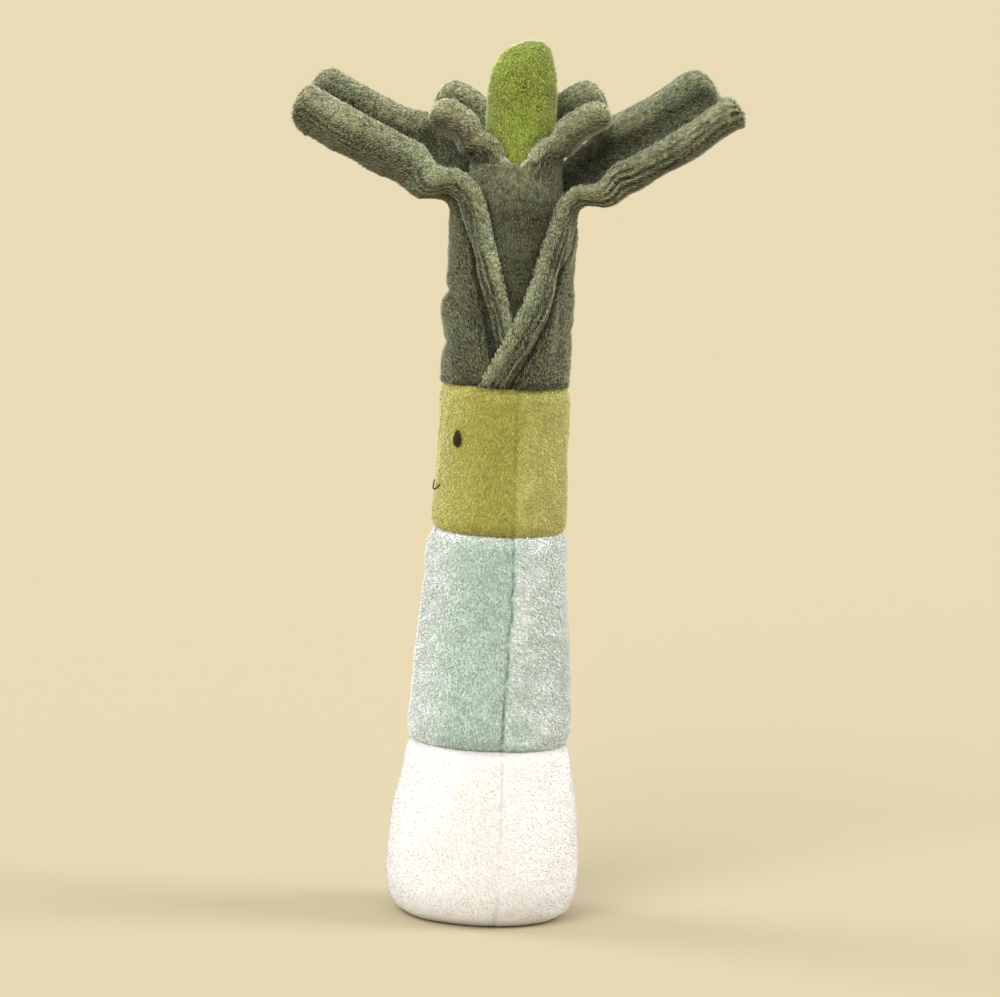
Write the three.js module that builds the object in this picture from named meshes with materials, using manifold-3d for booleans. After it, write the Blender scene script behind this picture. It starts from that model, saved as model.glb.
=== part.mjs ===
import * as THREE from "three";
import { mergeVertices } from "three/addons/utils/BufferGeometryUtils.js";
import Module from "manifold-3d";

// A stuffed plush leek that stands on its flat base: a white bulb, two coloured bands, a dark stem
// wrapped by two large folded leaves, two small leaves and a bright green shoot in the middle.
// Millimetres, +Z up. The origin is the middle of the flat base, and the leaves spread along X.

const wasm = await Module();
wasm.setup();

// Driving dimensions.
const HEIGHT = 310; // floor to the top of the shoot
const GAP = 0.3; // clear space between two pieces that touch
const CLOTH = 3; // short-pile plush, backing and pile together
const ROUND = 28; // sides of the stuffed tube
const SEAM_Z = { bulb: 62.5, lower: 137.5, upper: 189.5, crown: 261 }; // ring seams, floor upwards
const SEAM_PINCH = 1.3; // how far the stitching pulls a seam in
const SEAM_SOFT = 5; // height over which a pinched seam swells out again
const BASE_RADIUS = 25;
const BASE_THICK = 2.4;
const PELLET_TOP = 20; // top of the weighting pouch in the bulb

const COLOURS = {
  white: "#f3efe6",
  aqua: "#b3cabb",
  olive: "#a9a44a",
  dark: "#5d604f",
  bright: "#8ea334",
  thread: "#2c2413",
  lining: "#ddd8cc",
};

const radians = THREE.MathUtils.degToRad;
const lerp = THREE.MathUtils.lerp;
const smooth = (value, low, high) => THREE.MathUtils.smoothstep(value, low, high);

const part = new THREE.Group();

// Adds one named piece to the toy.
function piece(name, geometry, colour) {
  const material = new THREE.MeshStandardMaterial({ color: colour, roughness: 0.95, metalness: 0 });
  const mesh = new THREE.Mesh(geometry, material);
  mesh.name = name;
  part.add(mesh);
}

// Evenly spaced numbers from first to last, both included.
function spaced(first, last, count) {
  return Array.from({ length: count }, (_, i) => lerp(first, last, i / (count - 1)));
}

// A closed surface through loops of equal length. "tube" joins the last loop to the first, "fans" closes
// both ends round a middle point, and "strips" closes them straight across from side to side.
function loft(loops, ends) {
  const points = loops.flat().map((p) => p.clone());
  const around = loops[0].length;
  const faces = [];
  const joints = ends === "tube" ? loops.length : loops.length - 1;
  for (let i = 0; i < joints; i++) {
    for (let j = 0; j < around; j++) {
      const a = i * around + j;
      const b = i * around + ((j + 1) % around);
      const c = ((i + 1) % loops.length) * around + j;
      const d = ((i + 1) % loops.length) * around + ((j + 1) % around);
      faces.push([a, b, d], [a, d, c]);
    }
  }
  const last = (loops.length - 1) * around;
  if (ends === "fans") {
    for (const start of [0, last]) {
      const middle = new THREE.Vector3();
      points.slice(start, start + around).forEach((p) => middle.addScaledVector(p, 1 / around));
      points.push(middle);
      for (let j = 0; j < around; j++) {
        const pair = [start + j, start + ((j + 1) % around)];
        faces.push(start ? [...pair, points.length - 1] : [...pair.reverse(), points.length - 1]);
      }
    }
  }
  if (ends === "strips") {
    for (const start of [0, last]) {
      for (let j = 0; j < around / 2; j++) {
        const [a, b] = [start + j, start + j + 1];
        const [c, d] = [start + around - j - 1, start + ((around - j) % around)];
        const pair = [
          [a, b, c],
          [a, c, d],
        ].filter((f) => new Set(f).size === 3);
        pair.forEach((f) => faces.push(start ? f : f.reverse()));
      }
    }
  }
  const geometry = new THREE.BufferGeometry();
  geometry.setFromPoints(points);
  geometry.setIndex(faces.flat());
  return geometry;
}

// A horizontal loop whose radius depends on the angle.
function ring(z, radius) {
  return spaced(0, 2 * Math.PI, ROUND + 1)
    .slice(0, ROUND)
    .map((t) => new THREE.Vector3(Math.cos(t) * radius(t), Math.sin(t) * radius(t), z));
}

// The outline of the stuffed tube as radius against height, without the pinch at the seams.
const OUTLINE = new THREE.SplineCurve(
  [
    [26.8, 0],
    [31.3, 3],
    [33.9, 9],
    [34.6, 17],
    [33.7, 33],
    [31.6, 48],
    [29.4, 62.5],
    [28.6, 76],
    [27.4, 95],
    [25.4, 118],
    [24.4, 137.5],
    [23.5, 162],
    [23, 189.5],
  ].map(([r, z]) => new THREE.Vector2(r, z)),
).getPoints(260);

// Radius of the tube's outside at a height.
function tubeRadius(z) {
  const above = OUTLINE.findIndex((p) => p.y >= z);
  if (above <= 0) return OUTLINE[above === 0 ? 0 : OUTLINE.length - 1].x;
  const [low, high] = [OUTLINE[above - 1], OUTLINE[above]];
  return lerp(low.x, high.x, (z - low.y) / (high.y - low.y));
}

// How far the seams at the two ends of a sleeve pull it in at a height.
function pinch(z, bottom, top) {
  const near = (seam) =>
    seam === null ? 0 : SEAM_PINCH * (1 - smooth(Math.abs(z - seam), 0, SEAM_SOFT)) ** 1.5;
  return near(bottom) + near(top);
}

// A sleeve of cloth round the stuffing, with its own heights for the outside and for the plainer inside.
function sleeve(heights, outer, innerHeights, inner) {
  const outside = heights.map((z) => ring(z, (t) => outer(t, z)));
  const inside = [...innerHeights].reverse().map((z) => ring(z, () => inner(z)));
  return loft([...outside, ...inside], "tube");
}

// Heights of a sleeve's loops, closer together where its seams pull it in.
function sleeveHeights(bottom, top, between) {
  const ends = [0, 1.2, 2.8, SEAM_SOFT];
  return [
    ...ends.map((e) => bottom + GAP / 2 + e),
    ...spaced(bottom + SEAM_SOFT, top - SEAM_SOFT, between + 2).slice(1, -1),
    ...[...ends].reverse().map((e) => top - GAP / 2 - e),
  ];
}

// Bulb: the white sleeve that swells towards the base and turns in to meet the base panel.
const BULB_FOOT = 0.5; // the bulb's edge stays this far above the floor, round the base panel
const bulbOutside = (z) => tubeRadius(z) - pinch(z, null, SEAM_Z.bulb);
const bulbInside = (z) => Math.max(bulbOutside(z) - CLOTH, z < BASE_THICK + 1 ? BASE_RADIUS + GAP : 0);
const bulb = sleeve(
  [BULB_FOOT, 1.5, 3, 5.5, 9, 14, 21, ...sleeveHeights(0, SEAM_Z.bulb, 6).slice(6)],
  (t, z) => bulbOutside(z),
  [BULB_FOOT, BASE_THICK + 0.9, 5.5, 12, 24, 40, SEAM_Z.bulb - GAP / 2],
  bulbInside,
);

// Base panel: the flat disc that the toy stands on, and the pouch of pellets that weights it.
function disc(radius, low, high, edge) {
  const profile = [
    [0, low],
    [radius - edge, low],
    [radius - edge * 0.3, low + edge * 0.3],
    [radius, low + edge],
    [radius, high - edge],
    [radius - edge * 0.3, high - edge * 0.3],
    [radius - edge, high],
    [0, high],
  ];
  return new THREE.LatheGeometry(
    profile.map(([r, z]) => new THREE.Vector2(r, z)),
    ROUND,
  ).rotateX(Math.PI / 2);
}
const basePanel = disc(BASE_RADIUS, 0, BASE_THICK, 0.7);
const pelletBag = disc(BASE_RADIUS - 1.5, BASE_THICK + GAP, PELLET_TOP, 6);

// Lower and upper bands, each between two ring seams.
function band(bottom, top, between) {
  return sleeve(
    sleeveHeights(bottom, top, between),
    (t, z) => tubeRadius(z) - pinch(z, bottom, top),
    spaced(bottom + GAP / 2, top - GAP / 2, 3),
    (z) => tubeRadius(z) - CLOTH - SEAM_PINCH,
  );
}

// Leaf stem: the dark sleeve that the leaves wrap, drawn in at its foot and its crown.
const STEM_FOOT = 16.2;
const STEM_RADIUS = 18.5;
const STEM_CROWN = 16;
const STEM_HOLLOW = 13.4;
const LAYERED_Z = [SEAM_Z.upper, SEAM_Z.upper + 17]; // where the sewn foot of the leaves swells out
const stemRadius = (z) =>
  lerp(STEM_FOOT, STEM_RADIUS, smooth(z, ...LAYERED_Z)) -
  (STEM_RADIUS - STEM_CROWN) * smooth(z, SEAM_Z.crown - 8, SEAM_Z.crown);
const leafStem = sleeve(
  [SEAM_Z.upper + GAP / 2, 194, 199, 206, 220, 236, 252, 257, SEAM_Z.crown],
  (t, z) => stemRadius(z),
  [SEAM_Z.upper + GAP / 2, SEAM_Z.crown],
  () => STEM_HOLLOW,
);

// Stuffing: one soft core that fills the sleeves above the pellets.
function stuffingRadius(z) {
  const widest = tubeRadius(SEAM_Z.bulb) + 1;
  if (z < SEAM_Z.bulb) return Math.min(bulbInside(z), widest) - GAP - smooth(z, 40, 60) * 3.4;
  return z < SEAM_Z.upper - 3 ? tubeRadius(z) - CLOTH - SEAM_PINCH - GAP : STEM_HOLLOW - GAP;
}
const stuffingHeights = [
  ...spaced(PELLET_TOP + GAP, SEAM_Z.bulb - 0.5, 4),
  ...spaced(SEAM_Z.bulb, SEAM_Z.upper - 3.1, 4),
  ...spaced(SEAM_Z.upper - 3, SEAM_Z.crown - GAP, 2),
];
const stuffing = loft(
  stuffingHeights.map((z) => ring(z, () => stuffingRadius(z))),
  "fans",
);

// A leaf is a padded sheet, folded lengthwise. Its foot wraps the stem as a sheath, then it bends outwards
// and runs on as a trough-shaped blade with a rounded end. This is the line of its keel, from foot to tip,
// in the plane through the axis of the stem: "out" is away from the axis and "slope" the direction.
function keelLine(spec) {
  const bend = spec.bendRadius * radians(90 - spec.flareDeg - spec.slopeDeg[0]);
  const length = spec.sheath + bend + spec.blade;
  const slopeAt = (a) => {
    const bent = smooth(a, spec.sheath, spec.sheath + bend);
    const turned = lerp(radians(90 - spec.flareDeg), radians(spec.slopeDeg[0]), bent);
    const along = THREE.MathUtils.clamp((a - spec.sheath - bend) / spec.blade, 0, 1);
    return turned + radians(spec.slopeDeg[1] - spec.slopeDeg[0]) * along ** 1.3;
  };
  const step = 0.25;
  const line = [{ out: spec.radius, up: spec.footZ }];
  for (let a = 0; a < length + step; a += step) {
    const slope = slopeAt(a + step / 2);
    const p = line[line.length - 1];
    line.push({ out: p.out + Math.cos(slope) * step, up: p.up + Math.sin(slope) * step });
  }
  const at = (a) => {
    const i = Math.min(Math.floor(a / step), line.length - 2);
    const f = a / step - i;
    const [p, q] = [line[i], line[i + 1]];
    return { out: lerp(p.out, q.out, f), up: lerp(p.up, q.up, f), slope: slopeAt(a) };
  };
  return { at, length, bend };
}

const SHOULDER_REACH = [4, 22]; // from the keel round to the back rim, where a leaf is held up at its bend
const LIP_END = [0.75, 1]; // share of the leaf's full width over which the padded lip ends at the tip
const HEEL_REACH = 5; // along the keel, either side of the end of the bend

// One leaf's solid. Angles run round the leaf's section from the keel, positive towards the front (-Y).
function leaf(spec) {
  const keel = keelLine(spec);
  const bendEnd = spec.sheath + keel.bend;
  const out = new THREE.Vector3(spec.side, 0, 0);
  const up = new THREE.Vector3(0, 0, 1);
  const front = new THREE.Vector3(0, -1, 0);
  const tip = Math.max(...spec.tip);
  const stations = [
    ...spaced(0, spec.sheath, spec.rings[0]),
    ...spaced(spec.sheath, bendEnd, spec.rings[1]).slice(1),
    ...spaced(bendEnd, keel.length - tip, spec.rings[2]).slice(1),
    ...[0.3, 0.55, 0.75, 0.88, 0.96, 0.99].map((e) => keel.length - tip * (1 - e)),
  ];
  const loops = stations.map((a) => {
    const k = keel.at(a);
    const bladeShare = smooth(a, spec.sheath - 2, bendEnd + spec.blade * 0.25);
    const along = Math.min(a / spec.sheath, 1);
    // At the bend the rims draw back, and the back one is held up behind the smaller leaves.
    const bending = Math.exp(-(((a - (spec.sheath + bendEnd) / 2 - spec.bendShift) / spec.bendReach) ** 2));
    const drawnBack = 1 - spec.bendWaist * bending;
    const sheathWrap = radians(lerp(spec.wrapDeg[0], spec.wrapDeg[1], along ** spec.opening));
    const radius = lerp(k.out * (1 - bladeShare) + spec.radius * bladeShare, spec.trough, bladeShare);
    const toEnd = keel.length - a;
    // The back rim and the front rim each round off over their own length.
    const rounded = spec.tip.map((reach, i) => {
      const short = Math.max(0, 1 - toEnd / reach);
      return (1 - short ** spec.blunt[i]) ** (1 / spec.blunt[i]);
    });
    const nose = toEnd < spec.half * 1.5 ? Math.sqrt(1 - (1 - toEnd / (spec.half * 1.5)) ** 2) : 1;
    const half = spec.half * lerp(1, spec.puff, bladeShare) * nose;
    const width = lerp(sheathWrap * radius, spec.halfWidth, bladeShare) * drawnBack;
    // The section's own directions: towards the open side of the fold, and across it to the front.
    const twist = radians(spec.twistDeg) * smooth(a, spec.sheath, bendEnd + spec.blade * 0.3);
    const open = out.clone().multiplyScalar(-Math.sin(k.slope)).addScaledVector(up, Math.cos(k.slope));
    const inward = open.clone().multiplyScalar(Math.cos(twist)).addScaledVector(front, Math.sin(twist));
    const across = front.clone().multiplyScalar(Math.cos(twist)).addScaledVector(open, -Math.sin(twist));
    const keelPoint = out.clone().multiplyScalar(k.out).addScaledVector(up, k.up);
    const centre = keelPoint.clone().addScaledVector(open, radius);
    const normalAt = (angle) =>
      inward.clone().multiplyScalar(-Math.cos(angle)).addScaledVector(across, Math.sin(angle));
    const tipward = out.clone().multiplyScalar(Math.cos(k.slope)).addScaledVector(up, Math.sin(k.slope));
    const nearTip = smooth(a, keel.length - spec.notchReach, keel.length);
    const middle = (angle) => {
      const level = lerp(spec.layer(Math.abs(angle), k.up), radius, bladeShare);
      const drawnIn = spec.notch * nearTip * Math.exp(-((angle / spec.notchAngle) ** 2));
      const heldUp = spec.shoulder * bending * smooth(-angle * radius, ...SHOULDER_REACH);
      return centre
        .clone()
        .addScaledVector(normalAt(angle), level)
        .addScaledVector(tipward, -drawnIn)
        .addScaledVector(up, heldUp);
    };
    const rims = rounded.map((share) => (Math.max(width * share, half * 1.05) - half) / radius);
    const rimOf = (angle) => rims[angle < 0 ? 0 : 1];
    const lipLeft = nose * smooth(rounded[1], ...LIP_END);
    const lip = (angle) => {
      const fromRim = (rimOf(angle) - Math.abs(angle)) * radius;
      const raised = lerp(spec.lip[0] * smooth(k.up, ...spec.lipZ), spec.lip[1], bladeShare);
      return raised * lipLeft * Math.exp(-(((fromRim - 5) / 4.5) ** 2));
    };
    const heel = (angle) =>
      spec.heel * Math.exp(-(((a - bendEnd) / HEEL_REACH) ** 2) - (angle / spec.heelAngle) ** 2);
    const across0 = spaced(-1, 1, spec.columns).map((s) => rimOf(s) * Math.sign(s) * Math.abs(s) ** 0.8);
    const outside = across0.map((t) => middle(t).addScaledVector(normalAt(t), half + lip(t) + heel(t)));
    const inside = [...across0]
      .reverse()
      .map((t) => middle(t).addScaledVector(normalAt(t), -half - lip(t) * bladeShare * 0.6));
    const cap = (sign) =>
      middle(sign * rimOf(sign)).addScaledVector(normalAt(sign * (rimOf(sign) + Math.PI / 2)), half);
    // A loop starts half-way round the back rim, so that its two halves face each other across the sheet.
    const rest = [...outside, cap(1), ...inside];
    return [cap(-1), ...(spec.side > 0 ? rest.reverse() : rest)];
  });
  return loft(loops, "strips");
}

// Large leaves. The right one is wrapped last, so it lies over the left one below the V of the rims.
const WRAP_RADIUS = 21.1; // middle of the cloth at the sides
const UNDER_RADIUS = 18.2; // the left leaf's rims, at the seam
const OVER_RADIUS = 21.85; // the right leaf's rims, at the seam
const SWELL = STEM_RADIUS - STEM_FOOT + 0.2;
const V_FOOT = 214; // the rims cross below this height
const rimLevel = (foot, z) => foot + SWELL * smooth(z, ...LAYERED_Z);
const largeLeaf = {
  footZ: SEAM_Z.upper + GAP,
  radius: WRAP_RADIUS,
  sheath: 60,
  flareDeg: 1.8,
  bendRadius: 4,
  trough: 13.6,
  half: 1.5,
  puff: 1.75,
  lip: [1.3, 2.1],
  tip: [11, 6.5],
  blunt: [2.2, 3],
  notch: 9,
  notchReach: 16,
  notchAngle: 1.08,
  bendShift: 5,
  bendReach: 13,
  bendWaist: 0,
  shoulder: 8,
  heel: 0, // padding under the bend
  heelAngle: 1,
  rings: [7, 6, 8],
  columns: 13,
};
piece(
  "outer_leaf_left",
  leaf({
    ...largeLeaf,
    side: -1,
    blade: 64.4,
    halfWidth: 26.5,
    slopeDeg: [23, 29],
    wrapDeg: [114, 65],
    opening: 1,
    twistDeg: 15,
    lipZ: [V_FOOT, V_FOOT + 16],
    layer: (angle, z) => {
      const under = rimLevel(UNDER_RADIUS, z);
      return lerp(WRAP_RADIUS, under, smooth(angle, radians(35), radians(60)));
    },
  }),
  COLOURS.dark,
);
piece(
  "outer_leaf_right",
  leaf({
    ...largeLeaf,
    side: 1,
    blade: 67.6,
    tip: [14, 6.5],
    halfWidth: 24.3,
    slopeDeg: [27, 42],
    bendShift: 1,
    shoulder: 10,
    wrapDeg: [116.5, 50],
    opening: 0.85,
    twistDeg: 30,
    lipZ: [SEAM_Z.upper, V_FOOT + 10],
    layer: (angle, z) => {
      const over = rimLevel(OVER_RADIUS, z) + (UNDER_RADIUS - OVER_RADIUS) * smooth(z, V_FOOT, V_FOOT + 24);
      return lerp(WRAP_RADIUS, over, smooth(angle, radians(38), radians(60)));
    },
  }),
  COLOURS.dark,
);

// Small leaves: the innermost pair, which opens in a V round the shoot.
const COLLAR_RADIUS = 14.1;
const smallLeaf = {
  footZ: SEAM_Z.crown + GAP,
  radius: COLLAR_RADIUS,
  sheath: 8,
  flareDeg: 0,
  bendRadius: 4,
  blade: 20,
  trough: 13.5,
  halfWidth: 20.5,
  half: 1.5,
  puff: 1.6,
  lip: [0, 1],
  lipZ: [0, 1],
  tip: [7, 7],
  blunt: [2.2, 2.2],
  notchReach: 11.2,
  notch: 3.5,
  notchAngle: 0.7,
  wrapDeg: [89.3, 89.3],
  opening: 1,
  bendShift: 1.5,
  bendReach: 3.5,
  bendWaist: 0.26,
  shoulder: 0,
  heel: 2,
  heelAngle: 0.9,
  rings: [4, 6, 5],
  columns: 9,
  layer: () => COLLAR_RADIUS,
};
piece(
  "inner_leaf_left",
  leaf({ ...smallLeaf, side: -1, slopeDeg: [38, 18], twistDeg: 12 }),
  COLOURS.dark,
);
piece(
  "inner_leaf_right",
  leaf({ ...smallLeaf, side: 1, blade: 22.5, slopeDeg: [41, 22], twistDeg: 14 }),
  COLOURS.dark,
);

// Shoot: a stuffed finger with a slanted top, higher on the right.
const SHOOT = [
  { up: 0, left: -11.6, right: 11.6, deep: 11.6 },
  { up: 8, left: -11.8, right: 11.9, deep: 11.8 },
  { up: 22, left: -11.6, right: 13.4, deep: 12 },
  { up: 34, left: -11.3, right: 13.3, deep: 11.6 },
  { up: 42, left: -10.4, right: 12.4, deep: 10.6 },
  { up: 48.5, left: -7.4, right: 11.1, deep: 8.4 },
  { up: 51.8, left: -3.2, right: 9.8, deep: 5.4 },
  { up: 53.2, left: 1.2, right: 7.6, deep: 2.6 },
];
const SHOOT_FOOT = SEAM_Z.crown + GAP;
const SHOOT_ROUND = 20;
const shootCurve = (key) =>
  new THREE.CatmullRomCurve3(SHOOT.map((s) => new THREE.Vector3(s[key], 0, s.up))).getPoints(17);
const shootSides = { left: shootCurve("left"), right: shootCurve("right"), deep: shootCurve("deep") };
const shoot = loft(
  shootSides.left.map((p, i) => {
    const [left, right, deep] = [p.x, shootSides.right[i].x, shootSides.deep[i].x];
    const share = p.z / SHOOT[SHOOT.length - 1].up;
    return spaced(0, 2 * Math.PI, SHOOT_ROUND + 1)
      .slice(0, SHOOT_ROUND)
      .map((t) => {
        const x = (left + right) / 2 + ((right - left) / 2) * Math.cos(t);
        return new THREE.Vector3(x, deep * Math.sin(t), SHOOT_FOOT + share * (HEIGHT - SHOOT_FOOT));
      });
  }),
  "fans",
);

// Face: two oval eyes and a thin stitched smile on the upper band. It looks towards -X, a little to the front.
const FACE_DEG = -82; // from straight in front (-Y), negative towards -X
const EYE = { z: 171, spreadDeg: 38, wide: 2.1, tall: 3, deep: 1.5 };
const SMILE = { z: 151.2, lift: 2, spreadDeg: 16, radius: 0.4 };

// A point on the tube at an angle from the front and a height, raised by a distance.
function onTube(deg, z, raise) {
  const radius = tubeRadius(z) + raise;
  return new THREE.Vector3(Math.sin(radians(deg)) * radius, -Math.cos(radians(deg)) * radius, z);
}

// An eye's oval pad, or the slightly larger pocket that it sits in.
function eyeShape(deg, grow) {
  return new THREE.SphereGeometry(1, 12, 8)
    .scale(EYE.wide + grow, EYE.deep + grow, EYE.tall + grow)
    .rotateZ(radians(deg))
    .translate(...onTube(deg, EYE.z, -0.2).toArray());
}

// The smile's thread, or the slightly larger groove that it lies in.
function smileShape(grow) {
  const points = spaced(-1, 1, 7).map((s) =>
    onTube(FACE_DEG + s * SMILE.spreadDeg * (1 + grow * 0.1), SMILE.z + SMILE.lift * s * s, 0.15),
  );
  const section = new THREE.Shape().absarc(0, 0, SMILE.radius + grow, 0, 2 * Math.PI);
  return new THREE.ExtrudeGeometry(section, {
    steps: 12,
    curveSegments: 4,
    bevelEnabled: false,
    extrudePath: new THREE.CatmullRomCurve3(points),
  });
}

// A closed geometry as a solid, and back again.
function solidOf(geometry) {
  const bare = geometry.clone();
  bare.deleteAttribute("normal");
  bare.deleteAttribute("uv");
  const merged = mergeVertices(bare, 1e-3);
  return new wasm.Manifold(
    new wasm.Mesh({
      numProp: 3,
      vertProperties: merged.attributes.position.array,
      triVerts: new Uint32Array(merged.index.array),
    }),
  );
}
function geometryOf(solid) {
  const mesh = solid.getMesh();
  return new THREE.BufferGeometry()
    .setAttribute("position", new THREE.BufferAttribute(mesh.vertProperties, 3))
    .setIndex(new THREE.BufferAttribute(mesh.triVerts, 1));
}

const eyes = { eye_left: FACE_DEG + EYE.spreadDeg, eye_right: FACE_DEG - EYE.spreadDeg };
let upperBand = solidOf(band(SEAM_Z.lower, SEAM_Z.upper, 4));
for (const deg of Object.values(eyes)) {
  upperBand = upperBand.subtract(solidOf(eyeShape(deg, GAP)));
}
upperBand = upperBand.subtract(solidOf(smileShape(GAP)));

piece("bulb", bulb, COLOURS.white);
piece("base_panel", basePanel, COLOURS.white);
piece("pellet_bag", pelletBag, COLOURS.lining);
piece("stuffing", stuffing, COLOURS.lining);
piece("lower_band", band(SEAM_Z.bulb, SEAM_Z.lower, 5), COLOURS.aqua);
piece("upper_band", geometryOf(upperBand), COLOURS.olive);
piece("leaf_stem", leafStem, COLOURS.dark);
piece("shoot", shoot, COLOURS.bright);
for (const [name, deg] of Object.entries(eyes)) {
  piece(name, eyeShape(deg, 0), COLOURS.thread);
}
piece("smile", smileShape(0), COLOURS.thread);

export default part;
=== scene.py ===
"""A stuffed plush leek that stands on its flat base, dressed with sewn shells and short plush pile.

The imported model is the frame. Lengths are millimetres until they reach a mesh, which is in metres.
"""

import logging
import math
from dataclasses import dataclass
from enum import Enum
from typing import Callable, Sequence

import bpy
import numpy as np
from mathutils import Matrix, Vector


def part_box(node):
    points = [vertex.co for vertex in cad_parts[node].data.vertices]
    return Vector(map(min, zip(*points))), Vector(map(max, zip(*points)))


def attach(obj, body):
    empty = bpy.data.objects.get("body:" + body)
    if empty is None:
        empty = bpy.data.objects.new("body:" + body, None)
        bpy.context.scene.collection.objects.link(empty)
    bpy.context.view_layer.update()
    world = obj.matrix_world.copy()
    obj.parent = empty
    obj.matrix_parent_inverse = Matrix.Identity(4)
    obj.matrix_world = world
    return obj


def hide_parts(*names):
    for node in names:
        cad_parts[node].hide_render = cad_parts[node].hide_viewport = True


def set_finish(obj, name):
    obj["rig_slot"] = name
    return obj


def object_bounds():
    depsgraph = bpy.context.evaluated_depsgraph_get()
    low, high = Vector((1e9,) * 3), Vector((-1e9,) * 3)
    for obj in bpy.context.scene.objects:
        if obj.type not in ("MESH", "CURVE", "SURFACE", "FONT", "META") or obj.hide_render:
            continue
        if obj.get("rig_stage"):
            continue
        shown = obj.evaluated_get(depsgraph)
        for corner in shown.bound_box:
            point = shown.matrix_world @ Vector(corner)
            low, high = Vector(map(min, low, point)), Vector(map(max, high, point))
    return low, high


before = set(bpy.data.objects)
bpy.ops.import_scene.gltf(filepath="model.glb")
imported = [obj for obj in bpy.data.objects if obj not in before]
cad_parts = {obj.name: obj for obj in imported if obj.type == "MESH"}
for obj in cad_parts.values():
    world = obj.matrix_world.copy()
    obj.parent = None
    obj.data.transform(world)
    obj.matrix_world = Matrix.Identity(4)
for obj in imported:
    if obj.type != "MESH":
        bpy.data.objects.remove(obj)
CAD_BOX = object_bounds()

log = logging.getLogger("plush_leek")

MM = 0.001
ROOT = "root"
SEAM_GAP = 0.3  # clear space between two pieces that touch
PILE_HEIGHT = 0.8  # how far the tips of the pile stand off the cloth that carries them
CLOTH_SHARE = 3.0  # weight of the cloth's own direction against a tuft's when pile is lit
WAVES = 5  # how many waves of one length wander adds up
TURN = 2 * math.pi
Array = np.ndarray
Colour = tuple[float, float, float]
Socket = bpy.types.NodeSocket


class Kind(Enum):
    """What a mesh attribute holds at each point."""

    NUMBER = "FLOAT"
    VECTOR = "FLOAT_VECTOR"


def smooth(value: Array | float, low: float, high: float) -> Array:
    """Returns a smooth step from 0 at low to 1 at high."""
    t = np.clip((np.asarray(value, float) - low) / (high - low), 0.0, 1.0)
    return t * t * (3.0 - 2.0 * t)


def mix(first: Array | float, second: Array | float, share: Array | float) -> Array:
    """Returns first where share is 0, second where it is 1, and a blend between."""
    return first + (second - first) * share


def bell(distance: Array | float, width: float) -> Array:
    """Returns a bump of height 1 at distance 0 that fades over width."""
    return np.exp(-((np.asarray(distance, float) / width) ** 2))


def between(first: Array | float, second: Array | float) -> Array:
    """Returns the turn from the second angle to the first, the short way round."""
    return np.angle(np.exp(1j * (first - second)))


def round_axis(turn: Array | float, radius: Array | float, height: Array | float) -> Array:
    """Returns places round the toy's axis, one a row, with turns from the front (-Y) towards +X."""
    return np.stack([np.sin(turn) * radius, -np.cos(turn) * radius, height], -1).reshape(-1, 3)


def node_top(node: str) -> float:
    """Returns the height of a CAD node's highest point, in millimetres."""
    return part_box(node)[1].z / MM


def node_middle(node: str) -> tuple[float, float]:
    """Returns the turn of a CAD node's middle from the front (-Y) towards +X, and its height."""
    low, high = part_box(node)
    middle = (low + high) / 2
    return math.atan2(middle.x, -middle.y), middle.z / MM


def wander(points: Array, size: float, seed: int, octaves: int = 3) -> Array:
    """Gives a smooth random value to each point.

    Args:
        points: Places, in millimetres, one a row.
        size: The length of the widest waves.
        seed: Fixes the random draw.
        octaves: How many times the waves are halved.

    Returns:
        One value a point, mostly between -1 and 1.
    """
    draw = np.random.default_rng(seed)
    total = np.zeros(len(points))
    for octave in range(octaves):
        for _ in range(WAVES):
            way = draw.normal(size=3)
            way /= np.linalg.norm(way)
            pace = TURN / size * 2**octave * draw.uniform(0.7, 1.4)
            total += np.sin(points @ way * pace + draw.uniform(0, TURN)) * 0.45 / 2**octave
    return total


def off_path(across: Array, along: Array | float, path: Sequence[tuple[float, float]]) -> Array:
    """Measures how far points of a flat pattern lie from a line through it.

    Args:
        across: First coordinate of each point, in millimetres.
        along: Second coordinate of each point, in millimetres.
        path: The corners of the line.

    Returns:
        The distance of each point, positive on the left of the line's run.
    """
    best = np.full(np.shape(across), np.inf)
    side = np.zeros(np.shape(across))
    for p, q in zip(path, path[1:]):
        length = math.dist(p, q)
        way = ((q[0] - p[0]) / length, (q[1] - p[1]) / length)
        dx, dy = across - p[0], along - p[1]
        t = np.clip((dx * way[0] + dy * way[1]) / length, 0.0, 1.0)
        off = np.hypot(dx - way[0] * t * length, dy - way[1] * t * length)
        side = np.where(off < best, np.sign(way[0] * dy - way[1] * dx), side)
        best = np.minimum(off, best)
    return best * side


def add_object(name: str, data: bpy.types.ID) -> bpy.types.Object:
    """Returns a new object of the scene that shows the data."""
    piece = bpy.data.objects.new(name, data)
    bpy.context.scene.collection.objects.link(piece)
    return piece


def dress(piece: bpy.types.Object, slot: str, *nodes: str) -> None:
    """Tells the frame what a piece rides on, which slot it shows and which nodes it stands for.

    Args:
        piece: The piece.
        slot: The record's material slot.
        nodes: The CAD nodes, if any.
    """
    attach(piece, ROOT)
    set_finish(piece, slot)
    if nodes:
        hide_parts(*nodes)
    log.info("%s: %d faces", piece.name, len(piece.data.polygons))


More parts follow.
